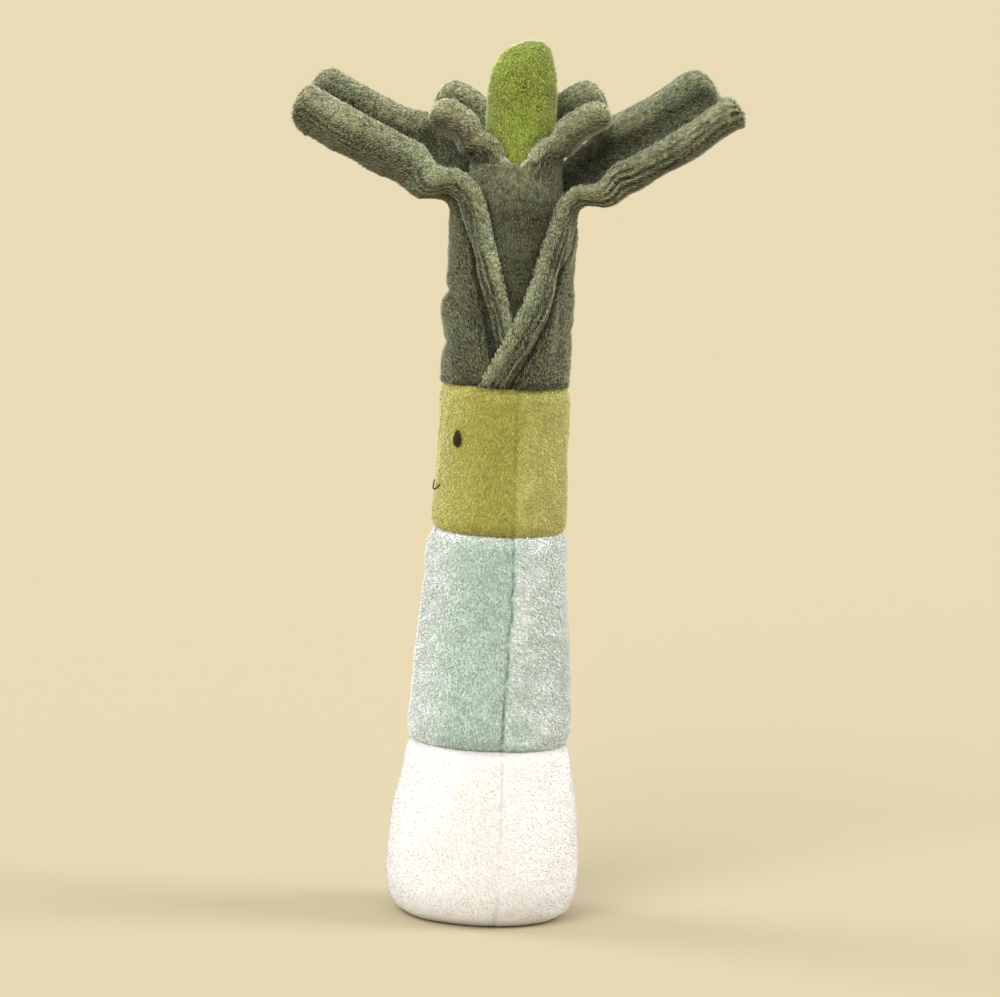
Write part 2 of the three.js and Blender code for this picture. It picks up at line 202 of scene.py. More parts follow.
def tube_faces(rows: int, around: int) -> Array:
    """Joins the points of a closed tube.

    Args:
        rows: How many loops the tube has.
        around: Points in each loop. The middles of the lower and the upper end follow the loops.

    Returns:
        The corners of each face, four a row; a triangle repeats its last one.
    """
    j = np.arange(around)
    nxt = (j + 1) % around
    ends = []
    for first, middle, facing in ((0, rows * around, -1), ((rows - 1) * around, rows * around + 1, 1)):
        pair = (first + j, first + nxt)[::facing]
        ends.append(np.stack([*pair, np.full(around, middle), np.full(around, middle)], -1))
    return np.vstack([grid_faces(rows, around), *ends])


def grid_faces(rows: int, around: int) -> Array:
    """Returns the four-cornered faces between rows loops of around points each."""
    i, j = np.meshgrid(np.arange(rows - 1) * around, np.arange(around), indexing="ij")
    nxt = (j + 1) % around
    return np.stack([i + j, i + nxt, i + around + nxt, i + around + j], -1).reshape(-1, 4)


@dataclass
class Cloth:
    """One closed shell of plush backing, with what its pile needs at each point.

    Attributes:
        points: Places in millimetres, one a row.
        faces: Corner numbers, four a row; a triangle repeats its last corner.
        nap: The way the pile leans.
        shade: 1 is plain, less is painted shade in a valley and more is a painted highlight on a pale edge.
        length: Share of the full pile length.
        cover: Share of the full pile density.
    """

    points: Array
    faces: Array
    nap: Array
    shade: Array
    length: Array
    cover: Array

    def object(self, name: str, material: bpy.types.Material) -> bpy.types.Object:
        """Makes the shell an object of the scene.

        Args:
            name: The piece's name.
            material: Its finish.

        Returns:
            The new object, with its place in its mesh.
        """
        mesh = bpy.data.meshes.new(name)
        loops = [list(dict.fromkeys(row)) for row in self.faces.tolist()]
        mesh.from_pydata((self.points * MM).tolist(), [], loops)
        for key in ("nap", "shade", "length", "cover"):
            kind = Kind.VECTOR if key == "nap" else Kind.NUMBER
            layer = mesh.attributes.new(key, kind.value, "POINT")
            layer.data.foreach_set("vector" if kind is Kind.VECTOR else "value", getattr(self, key).ravel())
        mesh.shade_smooth()
        mesh.materials.append(material)
        mesh.update()
        return add_object(name, mesh)

    def covered(self) -> float:
        """Returns the area that its pile covers, in square millimetres."""
        quads = self.points[self.faces]
        area = np.linalg.norm(np.cross(quads[:, 2] - quads[:, 0], quads[:, 3] - quads[:, 1]), axis=1) / 2
        return float((area * self.cover[self.faces].mean(axis=1)).sum())


class Nodes:
    """Short calls for building one node tree."""

    def __init__(self, kind: str, name: str, inputs: dict[str, str], outputs: dict[str, str]) -> None:
        """Makes the tree.

        Args:
            kind: Shader or Geometry Nodes.
            name: The tree's name.
            inputs: The kind of socket for each input's name.
            outputs: The kind of socket for each output's name.
        """
        self.tree = bpy.data.node_groups.new(name, kind)
        for way, sockets in (("INPUT", inputs), ("OUTPUT", outputs)):
            for key, socket in sockets.items():
                self.tree.interface.new_socket(key, in_out=way, socket_type="NodeSocket" + socket)
        self.given = self.tree.nodes.new("NodeGroupInput").outputs
        self.result = self.tree.nodes.new("NodeGroupOutput").inputs

    def node(self, kind: str, settings: dict | None = None, **sockets: object) -> bpy.types.Node:
        """Adds a node.

        Args:
            kind: Blender's name for the kind of node.
            settings: The node's settings by name.
            sockets: What its inputs hold by name, with _ for a space.

        Returns:
            The node.
        """
        node = self.tree.nodes.new(kind)
        for key, value in (settings or {}).items():
            setattr(node, key, value)
        for key, value in sockets.items():
            usable = [s for s in node.inputs if s.name == key.replace("_", " ") and s.enabled]
            self.fill(usable[0], value)
        return node

    def fill(self, socket: Socket, value: object) -> None:
        """Links a socket to another, or sets its value."""
        if isinstance(value, Socket):
            self.tree.links.new(value, socket)
        else:
            socket.default_value = value

    def math(self, kind: str, *values: object) -> Socket:
        """Returns the result of one math node."""
        node = self.node("ShaderNodeMath", {"operation": kind})
        self.fill_all(node.inputs, values)
        return node.outputs[0]

    def vector(self, kind: str, *values: object) -> Socket:
        """Returns the result of one vector math node; SCALE takes the vector and a number."""
        node = self.node("ShaderNodeVectorMath", {"operation": kind})
        self.fill_all((node.inputs[0], node.inputs["Scale"]) if kind == "SCALE" else node.inputs, values)
        return node.outputs[0]

    def fill_all(self, sockets: Sequence[Socket], values: Sequence[object]) -> None:
        """Fills sockets in order."""
        for socket, value in zip(sockets, values):
            self.fill(socket, value)


class ShaderNodes(Nodes):
    """Short calls for one shader group."""

    def __init__(self, name: str, inputs: dict[str, str], outputs: dict[str, str]) -> None:
        """Makes the group."""
        super().__init__("ShaderNodeTree", name, inputs, outputs)

    def blend(self, kind: str, *values: object) -> Socket:
        """Returns the colour of one mix node, from its share and its two colours."""
        node = self.node("ShaderNodeMix", {"data_type": "RGBA", "blend_type": kind})
        self.fill_all((node.inputs[0], node.inputs[6], node.inputs[7]), values)
        return node.outputs[2]

    def noise(self, scale: float, detail: float) -> Socket:
        """Returns a noise on the piece's own coordinates."""
        place = self.node("ShaderNodeTexCoord").outputs["Object"]
        return self.node("ShaderNodeTexNoise", None, Vector=place, Scale=scale, Detail=detail).outputs["Fac"]

    def attribute(self, name: str, result: str = "Fac") -> Socket:
        """Returns one of the mesh's own attributes."""
        return self.node("ShaderNodeAttribute", {"attribute_name": name}).outputs[result]

    def bump(self, strength: float, distance: float, **sockets: Socket) -> Socket:
        """Returns a normal bumped by Height, over a distance in millimetres."""
        sockets |= dict(Strength=strength, Distance=distance * MM)
        return self.node("ShaderNodeBump", None, **sockets).outputs["Normal"]


class GeometryNodes(Nodes):
    """Short calls for one Geometry Nodes tree."""

    def __init__(self, name: str, inputs: dict[str, str]) -> None:
        """Makes the tree with its geometry, its material and the named inputs."""
        inputs = {"Geometry": "Geometry", **inputs, "Material": "Material"}
        super().__init__("GeometryNodeTree", name, inputs, {"Geometry": "Geometry"})

    def named(self, name: str, kind: Kind = Kind.NUMBER) -> Socket:
        """Returns a named attribute of the mesh."""
        node = self.node("GeometryNodeInputNamedAttribute", {"data_type": kind.value}, Name=name)
        return next(s for s in node.outputs if s.enabled and s.name == "Attribute")

    def random(self, low: object, high: object, seed: object, kind: Kind = Kind.NUMBER) -> Socket:
        """Returns a random number or vector between low and high for each element."""
        node = self.node("FunctionNodeRandomValue", {"data_type": kind.value}, Min=low, Max=high, Seed=seed)
        return next(s for s in node.outputs if s.enabled)

    def store(self, geometry: Socket, name: str, value: Socket, kind: Kind = Kind.NUMBER) -> Socket:
        """Returns the geometry with a value kept at each point under a name."""
        settings = {"data_type": kind.value, "domain": "POINT"}
        sockets = dict(Geometry=geometry, Name=name, Value=value)
        return self.node("GeometryNodeStoreNamedAttribute", settings, **sockets).outputs[0]

    def height(self) -> Socket:
        """Returns the height of each point."""
        place = self.node("GeometryNodeInputPosition").outputs[0]
        return self.node("ShaderNodeSeparateXYZ", None, Vector=place).outputs["Z"]

    def xyz(self, **sides: object) -> Socket:
        """Returns a vector made of its X, Y and Z."""
        return self.node("ShaderNodeCombineXYZ", None, **sides).outputs[0]

    def turned(self, axis: str, way: Socket) -> Socket:
        """Returns the rotation that points an axis along a way."""
        return self.node("FunctionNodeAlignRotationToVector", {"axis": axis}, Vector=way).outputs[0]

    def close(self, **placing: Socket) -> bpy.types.NodeTree:
        """Ends the tree with copies on points, real, smooth and in the given material, and returns it."""
        done = self.node("GeometryNodeInstanceOnPoints", None, **placing)
        for kind in ("GeometryNodeRealizeInstances", "GeometryNodeSetShadeSmooth"):
            done = self.node(kind, None, Geometry=done.outputs[0])
        sockets = dict(Geometry=done.outputs[0], Material=self.given["Material"])
        done = self.node("GeometryNodeSetMaterial", None, **sockets)
        self.fill(self.result["Geometry"], done.outputs[0])
        return self.tree


def run_tree(
    tree: bpy.types.NodeTree, source: bpy.types.ID, name: str, values: dict[str, object]
) -> bpy.types.Object:
    """Runs a Geometry Nodes tree on a mesh and keeps the result as a plain mesh.

    Args:
        tree: The tree.
        source: The mesh that the tree reads.
        name: The new piece's name.
        values: The tree's inputs by name.

    Returns:
        The new object.
    """
    worker = add_object(name + "_source", source)
    modifier = worker.modifiers.new("nodes", "NODES")
    modifier.node_group = tree
    for item in tree.interface.items_tree:
        if item.in_out == "INPUT" and item.name in values:
            modifier[item.identifier] = values[item.name]
    depsgraph = bpy.context.evaluated_depsgraph_get()
    mesh = bpy.data.meshes.new_from_object(worker.evaluated_get(depsgraph), depsgraph=depsgraph)
    worker.modifiers.remove(modifier)
    bpy.data.objects.remove(worker)
    mesh.name = name
    return add_object(name, mesh)


class Finish:
    """A new material, with short calls for filling its shader."""

    def __init__(self, name: str, **settings: object) -> None:
        """Makes the material and sets its shader's inputs, with _ for a space."""
        self.material = bpy.data.materials.new(name)
        self.material.use_nodes = True
        self.nodes = self.material.node_tree.nodes
        self.shader = self.nodes["Principled BSDF"]
        self._set(self.shader, settings)

    @staticmethod
    def _set(node: bpy.types.Node, settings: dict[str, object]) -> None:
        """Sets a node's inputs by name; three numbers are an opaque colour."""
        for key, value in settings.items():
            value = (*value, 1.0) if isinstance(value, (tuple, list)) else value
            node.inputs[key.replace("_", " ")].default_value = value

    def show(self, tree: bpy.types.NodeTree, into: dict[str, str], **settings: object) -> None:
        """Adds a shader group and links its results to the shader's inputs.

        Args:
            tree: The group.
            into: The shader's input for each of the group's results.
            settings: The group's inputs by name.
        """
        group = self.nodes.new("ShaderNodeGroup")
        group.node_tree = tree
        self._set(group, settings)
        for result, key in into.items():
            self.material.node_tree.links.new(group.outputs[result], self.shader.inputs[key])


class FinishGroups:
    """The shader groups that more than one finish uses."""

    def __init__(self) -> None:
        """Builds each group once."""
        self.pile_colour = self._pile_colour()
        self.pile_normal = self._pile_normal()
        self.weave = self._weave()

    @staticmethod
    def _pile_colour() -> bpy.types.NodeTree:
        """Builds the colour of plush from a darker root, painted shade deep in the pile, to the tip, with
        drift, painted shade in valleys and painted highlights on pale edges.
        """
        inputs = {"Root": "Color", "Tip": "Color", "Pale": "Color", "Patch": "Float", "Grain": "Float"}
        make = ShaderNodes("Pile colour", inputs, {"Color": "Color"})
        math_node, given = make.math, make.given
        tip, tint, shade = (make.attribute(key) for key in ("tip", "tint", "shade"))
        # Darker towards the root of each tuft, as painted shade deep in the pile.
        body = make.blend("MIX", tip, given["Root"], given["Tip"])
        # Shade above 1 mixes in the pale colour as a painted highlight.
        lift = math_node("MAXIMUM", math_node("SUBTRACT", shade, 1.0), 0.0)
        body = make.blend("MIX", math_node("MINIMUM", lift, 1.0), body, given["Pale"])
        wide, fine = make.noise(45.0, 3.0), make.noise(420.0, 2.0)
        drift = math_node("SUBTRACT", math_node("ADD", wide, fine), 1.0)
        drift = math_node("MULTIPLY", drift, math_node("MULTIPLY", given["Patch"], 2.0))
        fleck = math_node("MULTIPLY", math_node("SUBTRACT", tint, 0.5), given["Grain"])
        clump = math_node("SUBTRACT", make.noise(1000.0, 1.0), 0.5)
        fleck = math_node("MULTIPLY_ADD", clump, math_node("MULTIPLY", given["Grain"], 1.6), fleck)
        level = math_node("ADD", math_node("ADD", 1.0, drift), fleck)
        # Shade below 1 darkens the colour as painted shade.
        level = math_node("MULTIPLY", level, math_node("MINIMUM", shade, 1.0))
        warmth = math_node("MULTIPLY", math_node("SUBTRACT", make.noise(70.0, 2.0), 0.5), given["Patch"])
        toned = make.node("ShaderNodeCombineColor")
        for socket, share in zip(toned.inputs, (0.55, 0.0, -0.15)):
            make.fill(socket, math_node("MULTIPLY", level, math_node("MULTIPLY_ADD", warmth, share, 1.0)))
        make.fill(make.result["Color"], make.blend("MULTIPLY", 1.0, body, toned.outputs[0]))
        return make.tree

    @staticmethod
    def _pile_normal() -> bpy.types.NodeTree:
        """Builds the way that pile faces the light: mostly as the cloth that it grows from."""
        make = ShaderNodes("Pile normal", {}, {"Normal": "Vector"})
        own = make.node("ShaderNodeNewGeometry").outputs["Normal"]
        way = make.vector("MULTIPLY_ADD", make.attribute("lie", "Vector"), (CLOTH_SHARE,) * 3, own)
        fuzz = make.bump(0.35, 0.3, Height=make.noise(1500.0, 2.0), Normal=make.vector("NORMALIZE", way))
        make.fill(make.result["Normal"], fuzz)
        return make.tree

    @staticmethod
    def _weave() -> bpy.types.NodeTree:
        """Builds a plain over-and-under weave in two tones, the darker one painted shade between strands,
        with its relief.
        """
        inputs = {"Dark": "Color", "Light": "Color", "Pitch": "Float"}
        make = ShaderNodes("Weave", inputs, {"Color": "Color", "Normal": "Vector"})
        place = make.node("ShaderNodeTexCoord").outputs["Object"]
        split = make.node("ShaderNodeSeparateXYZ", None, Vector=place)
        turns = make.math("DIVIDE", TURN / MM, make.given["Pitch"])
        waves = [make.math("SINE", make.math("MULTIPLY", axis, turns)) for axis in split.outputs]
        cross = make.math("ADD", make.math("MULTIPLY", waves[0], waves[2]), waves[1])
        cross = make.math("MULTIPLY_ADD", cross, 0.25, 0.5)
        # Painted shade: the dark colour lies where the relief is low, between strands.
        make.fill(make.result["Color"], make.blend("MIX", cross, make.given["Dark"], make.given["Light"]))
        make.fill(make.result["Normal"], make.bump(0.6, 0.1, Height=cross))
        return make.tree


@dataclass(frozen=True)
class Plush:
    """A dyed plush: colours deep in its pile, at its tips and of its painted highlights, and how it shines.

    Attributes:
        name: The finish's name.
        slot: The record's material slot.
        root: Colour deep in the pile, darker than the tips as painted shade between the fibres; the backing
            shows it too.
        tip: Colour at the tips.
        pale: Colour of the painted highlight on edges where the pile parts and catches light.
        patch: How strongly the colour drifts over the surface.
        grain: How strongly one tuft differs from the next.
        sheen: Strength of the soft rim of light.
    """

    name: str
    slot: str
    root: Colour
    tip: Colour
    pale: Colour
    patch: float
    grain: float
    sheen: float

    def material(self, groups: FinishGroups) -> bpy.types.Material:
        """Builds the plush.

        Args:
            groups: The shared shader groups.

        Returns:
            The material.
        """
        tint = [mix(c, 1.0, 0.45) for c in self.pale]
        sheen = dict(Sheen_Weight=self.sheen, Sheen_Roughness=0.45, Sheen_Tint=tint)
        finish = Finish(self.name, Roughness=0.9, Specular_IOR_Level=0.15, **sheen)
        colours = dict(Root=self.root, Tip=self.tip, Pale=self.pale, Patch=self.patch, Grain=self.grain)
        finish.show(groups.pile_colour, {"Color": "Base Color"}, **colours)
        finish.show(groups.pile_normal, {"Normal": "Normal"})
        return finish.material


@dataclass(frozen=True)
class Thread:
    """Thread or loose fibre: two tones along its strands, the darker one painted shade between them, with a
    satin gloss.

    Attributes:
        name: The finish's name.
        slot: The record's material slot.
        dark: Colour between strands, painted shade.
        light: Colour on a strand.
        pitch: How far apart strands lie.
    """

    name: str
    slot: str
    dark: Colour
    light: Colour
    pitch: float = 0.35

    def material(self, groups: FinishGroups) -> bpy.types.Material:
        """Builds the thread.

        Args:
            groups: The shared shader groups.

        Returns:
            The material.
        """
        finish = Finish(self.name, Roughness=0.75, Specular_IOR_Level=0.25)
        results = {"Color": "Base Color", "Normal": "Normal"}
        finish.show(groups.weave, results, Dark=self.dark, Light=self.light, Pitch=self.pitch)
        return finish.material


class PileMaker:
    """Grows short plush pile on a cloth shell, as closed three-sided tufts."""

    TUFT_SIDES = 3
    TUFT_FACES = 4

    def __init__(self) -> None:
        """Builds the tree: one tuft, spread over the shell and leaned along its nap."""
        numbers = dict.fromkeys(("Density", "Length", "Width", "Lean", "Spread"), "Float")
        make = GeometryNodes("Plush pile", {**numbers, "Seed": "Int"})
        math_node, given = make.math, make.given
        shape = dict(Vertices=self.TUFT_SIDES, Side_Segments=1, Radius_Top=0.0, Radius_Bottom=1.0, Depth=1.0)
        cone = make.node("GeometryNodeMeshCone", {"fill_type": "NGON"}, **shape)
        spread = make.node(
            "GeometryNodeDistributePointsOnFaces",
            {"distribute_method": "RANDOM"},
            Mesh=given["Geometry"],
            Density=math_node("MULTIPLY", given["Density"], make.named("cover")),
            Seed=given["Seed"],
        )
        points, normal = spread.outputs["Points"], spread.outputs["Normal"]
        seed = math_node("ADD", given["Seed"], 7.0)
        jitter = make.random((-1.0,) * 3, (1.0,) * 3, seed, Kind.VECTOR)
        lean = math_node("RADIANS", given["Lean"])
        upright = make.vector("SCALE", normal, math_node("COSINE", lean))
        leaning = make.vector("SCALE", make.named("nap", Kind.VECTOR), math_node("SINE", lean))
        stray = make.vector("SCALE", jitter, given["Spread"])
        way = make.vector("ADD", make.vector("ADD", upright, leaning), stray)
        width = math_node("MULTIPLY", given["Width"], make.random(0.7, 1.25, 3))
        length = math_node("MULTIPLY", given["Length"], make.random(0.65, 1.15, 5))
        length = math_node("MULTIPLY", length, make.named("length"))
        points = make.store(points, "lie", normal, Kind.VECTOR)
        self.tree = make.close(
            Points=make.store(points, "tint", make.random(0.0, 1.0, 11)),
            Instance=make.store(cone.outputs["Mesh"], "tip", make.height()),
            Rotation=make.turned("Z", way),
            Scale=make.xyz(X=width, Y=math_node("MULTIPLY", width, 0.6), Z=length),
        )

    def grow(
        self, shell: bpy.types.Object, cloth: Cloth, triangles: int, seed: int,
        length: float = 1.2, width: float = 0.24, lean: float = 42.0, spread: float = 0.4,
    ) -> bpy.types.Object:
        """Grows the pile of one shell.

        Args:
            shell: The shell's object.
            cloth: Its cloth, for the area that the pile covers.
            triangles: About how many triangles the pile has.
            seed: Fixes the random draw.
            length: Length of a tuft in millimetres.
            width: Half the width of a tuft's root in millimetres.
            lean: Degrees between a tuft and the cloth's normal.
            spread: How far tufts stray from that lean.

        Returns:
            The pile as one object.
        """
        values = {
            "Density": triangles / self.TUFT_FACES / cloth.covered() / MM**2,
            "Length": length * MM,
            "Width": width * MM,
            "Lean": lean,
            "Spread": spread,
            "Seed": seed,
            "Material": shell.data.materials[0],
        }
        return run_tree(self.tree, shell.data, shell.name + "_pile", values)


@dataclass(frozen=True)
class Tube:
    """The stuffed tube that the sleeves share: its outline, seams and side seam.

    Attributes:
        outline: Radius against height, as in the CAD model.
        seam_pinch: How far stitching pulls a ring seam in.
        seam_soft: Height over which it swells out again.
        side_seam: Corners of the side seam as angle from the front in degrees, and height.
    """

    outline: tuple[tuple[float, float], ...] = (
        (26.8, 0), (31.3, 3), (33.9, 9), (34.6, 17), (33.7, 33), (31.6, 48), (29.4, 62.5),
        (28.6, 76), (27.4, 95), (25.4, 118), (24.4, 137.5), (23.5, 162), (23, 189.5),
    )
    seam_pinch: float = 1.3
    seam_soft: float = 5.0
    side_seam: tuple[tuple[float, float], ...] = (
        (10.5, 62), (10.6, 73), (12, 88), (12.4, 102), (15, 110),
        (13.6, 116), (15.6, 121), (14.2, 137), (12.5, 160), (13.5, 190),
    )

    def radius(self, height: Array | float) -> Array:
        """Runs a smooth curve through the outline.

        Args:
            height: Heights in millimetres.

        Returns:
            The tube's outside radius at each height, without the seams.
        """
        p = np.array(self.outline, float)
        p = np.vstack([2 * p[0] - p[1], p, 2 * p[-1] - p[-2]])
        t = np.linspace(0, 1, 24, endpoint=False)[:, None]
        pieces = []
        for a, b, c, d in zip(p, p[1:], p[2:], p[3:]):
            curve = (2 * a - 5 * b + 4 * c - d) * t**2 + (3 * b - a - 3 * c + d) * t**3
            pieces.append(0.5 * (2 * b + (c - a) * t + curve))
        line = np.vstack([*pieces, p[-2:-1]])
        return np.interp(height, line[:, 1], line[:, 0])

    def seam_turn(self, height: Array) -> Array:
        """Returns where the side seam runs at each height, as a turn from the front."""
        line = np.array(self.side_seam, float)
        return np.radians(np.interp(height, line[:, 1], line[:, 0]))


@dataclass
class Sleeve:
    """A sleeve of plush round the stuffing, between two ring seams.

    Attributes:
        node: The CAD node that it stands for.
        bottom: Height of its lower end.
        top: Height of its upper end.
        plush: Its finish.
        pinched: Heights of the ring seams that pull it in.
        seed: Fixes its lumps.
        seam_depth: How deep the side seam sinks, and how dark its painted shade is.
        lumps: How high its lumps stand.
        fringe: How pale and long the pile stands at the top edge.
        brushed: How much paler the pile lies past the side seam and round the left: painted sheen where the
            pile lies another way.
        bare: Places where no pile grows, as angle, height, half width and half height.
        tube: The outline that it follows.
        spacing: How far its points lie apart.
        widest: Radius by which the points of a loop are counted.
        usual: Radius at which its lumps are drawn.
    """

    node: str
    bottom: float
    top: float
    plush: Plush
    pinched: tuple[float, ...]
    seed: int
    seam_depth: float = 0.9
    lumps: float = 0.35
    fringe: float = 0.0
    brushed: float = 0.0
    bare: tuple[tuple[float, float, float, float], ...] = ()
    tube: Tube = Tube()
    spacing: float = 1.1
    widest: float = 30.0
    usual: float = 28.0

    def cloth(self) -> Cloth:
        """Shapes the shell.

        Returns:
            The closed shell, capped flat at both ends where other pieces hide it.
        """
        rows = max(8, round((self.top - self.bottom) / self.spacing))
        heights = np.linspace(self.bottom + SEAM_GAP / 2, self.top - SEAM_GAP / 2, rows)
        around = round(TURN * self.widest / self.spacing)
        z, t = np.meshgrid(heights, np.linspace(0, TURN, around, endpoint=False), indexing="ij")
        radius = self.tube.radius(z) - PILE_HEIGHT
        spots = round_axis(t, self.usual, z)
        ragged = wander(spots, 22, self.seed).reshape(z.shape)
        near = np.zeros_like(z)
        for seam in self.pinched:
            away = np.abs(z - seam)
            near = np.maximum(near, 1 - smooth(away, 0, self.tube.seam_soft * (1 + 0.25 * ragged)))
        gathers = wander(spots * (1, 1, 0.15), 5.5, self.seed + 40, 1).reshape(z.shape)
        radius = radius - self.tube.seam_pinch * near**1.4 + gathers * 0.16 * near * (1 - near) * 4
        # Painted shade where the ring seams pinch the sleeve in.
        shade = 1.0 - 0.28 * near**4
        length = 1.0 - 0.25 * near**3
        broken = smooth(wander(spots, 7, self.seed + 60).reshape(z.shape), -0.9, 0.35)
        seam_turn = self.tube.seam_turn(z)
        for opposite in (0.0, math.pi):
            off = between(t, seam_turn + opposite) * radius
            radius = radius - self.seam_depth * bell(off, 0.9) - 0.3 * bell(off, 5) * self.seam_depth
            # Painted shade along the sunken side seam, in broken stretches.
            shade = shade * (1 - 0.6 * broken * self.seam_depth * bell(off, 0.6))
            length = length * (1 - 0.3 * bell(off, 0.7))
        radius = radius + ragged * self.lumps * (1 - near)
        edge = self.fringe * bell(self.top - z, 2.2)
        shade = shade * (1 + 0.35 * edge) + 0.5 * edge
        length = length + 0.25 * edge
        past_seam = np.sin(t - seam_turn)
        left = smooth(-np.sin(t), 0.35, 0.9)
        sideways = np.maximum(smooth(past_seam, -0.02, 0.1), left) * smooth(np.cos(t), -0.6, 0.0)
        # Painted sheen: paler pile past the side seam and round the left, where the pile lies another way.
        shade = shade + self.brushed * sideways * (0.75 + 0.25 * ragged)
        low = 1 - smooth(z, 1.5, 7)
        length = length * (1 - 0.6 * low)
        cover = np.where((z < self.bottom + 1.2) & (self.bottom < 1), 0.0, 1.0)
        for angle, height, wide, tall in self.bare:
            away = np.hypot(between(t, angle) * radius / wide, (z - height) / tall)
            cover = cover * smooth(away, 0.85, 1.05)
            radius = radius - 0.5 * bell(away, 1.3)
            # Painted shade in the dimple round the embroidery.
            shade = shade * (1 - 0.3 * bell(away, 1.2))
        past_seam = smooth(past_seam, -0.03, 0.03)
        turned = mix(-0.3, 0.6, past_seam) + 0.25 * ragged
        down = mix(-0.85, -0.6, past_seam) * (1 - low) + 0.5 * low
        nap = np.stack([np.cos(t) * turned, np.sin(t) * turned, down], -1).reshape(-1, 3)
        return closed_tube(round_axis(t, radius, z), nap, shade, length, cover, (heights[0], heights[-1]))


def closed_tube(
    points: Array, nap: Array, shade: Array, length: Array, cover: Array, ends: tuple[float, float]
) -> Cloth:
    """Closes a tube flat at both ends, where other pieces hide it and no pile grows.

    Args:
        points: The tube's points, loop after loop.
        nap: The way the pile leans at each point.
        shade: The shade of each point, a loop a row.
        length: The share of the pile's length, a loop a row.
        cover: The share of the pile's density, a loop a row.
        ends: The heights of the two ends.

    Returns:
        The closed shell.
    """
    middles = np.array([[0, 0, height] for height in ends])
    return Cloth(
        np.vstack([points, middles]),
        tube_faces(*shade.shape),
        np.vstack([nap, np.tile([0.0, 0.0, 1.0], (2, 1))]),
        np.append(shade, [1, 1]),
        np.append(length, [1, 1]),
        np.append(cover, [0, 0]),
    )


CAP_POINTS = 13  # round the rolled rim of a leaf


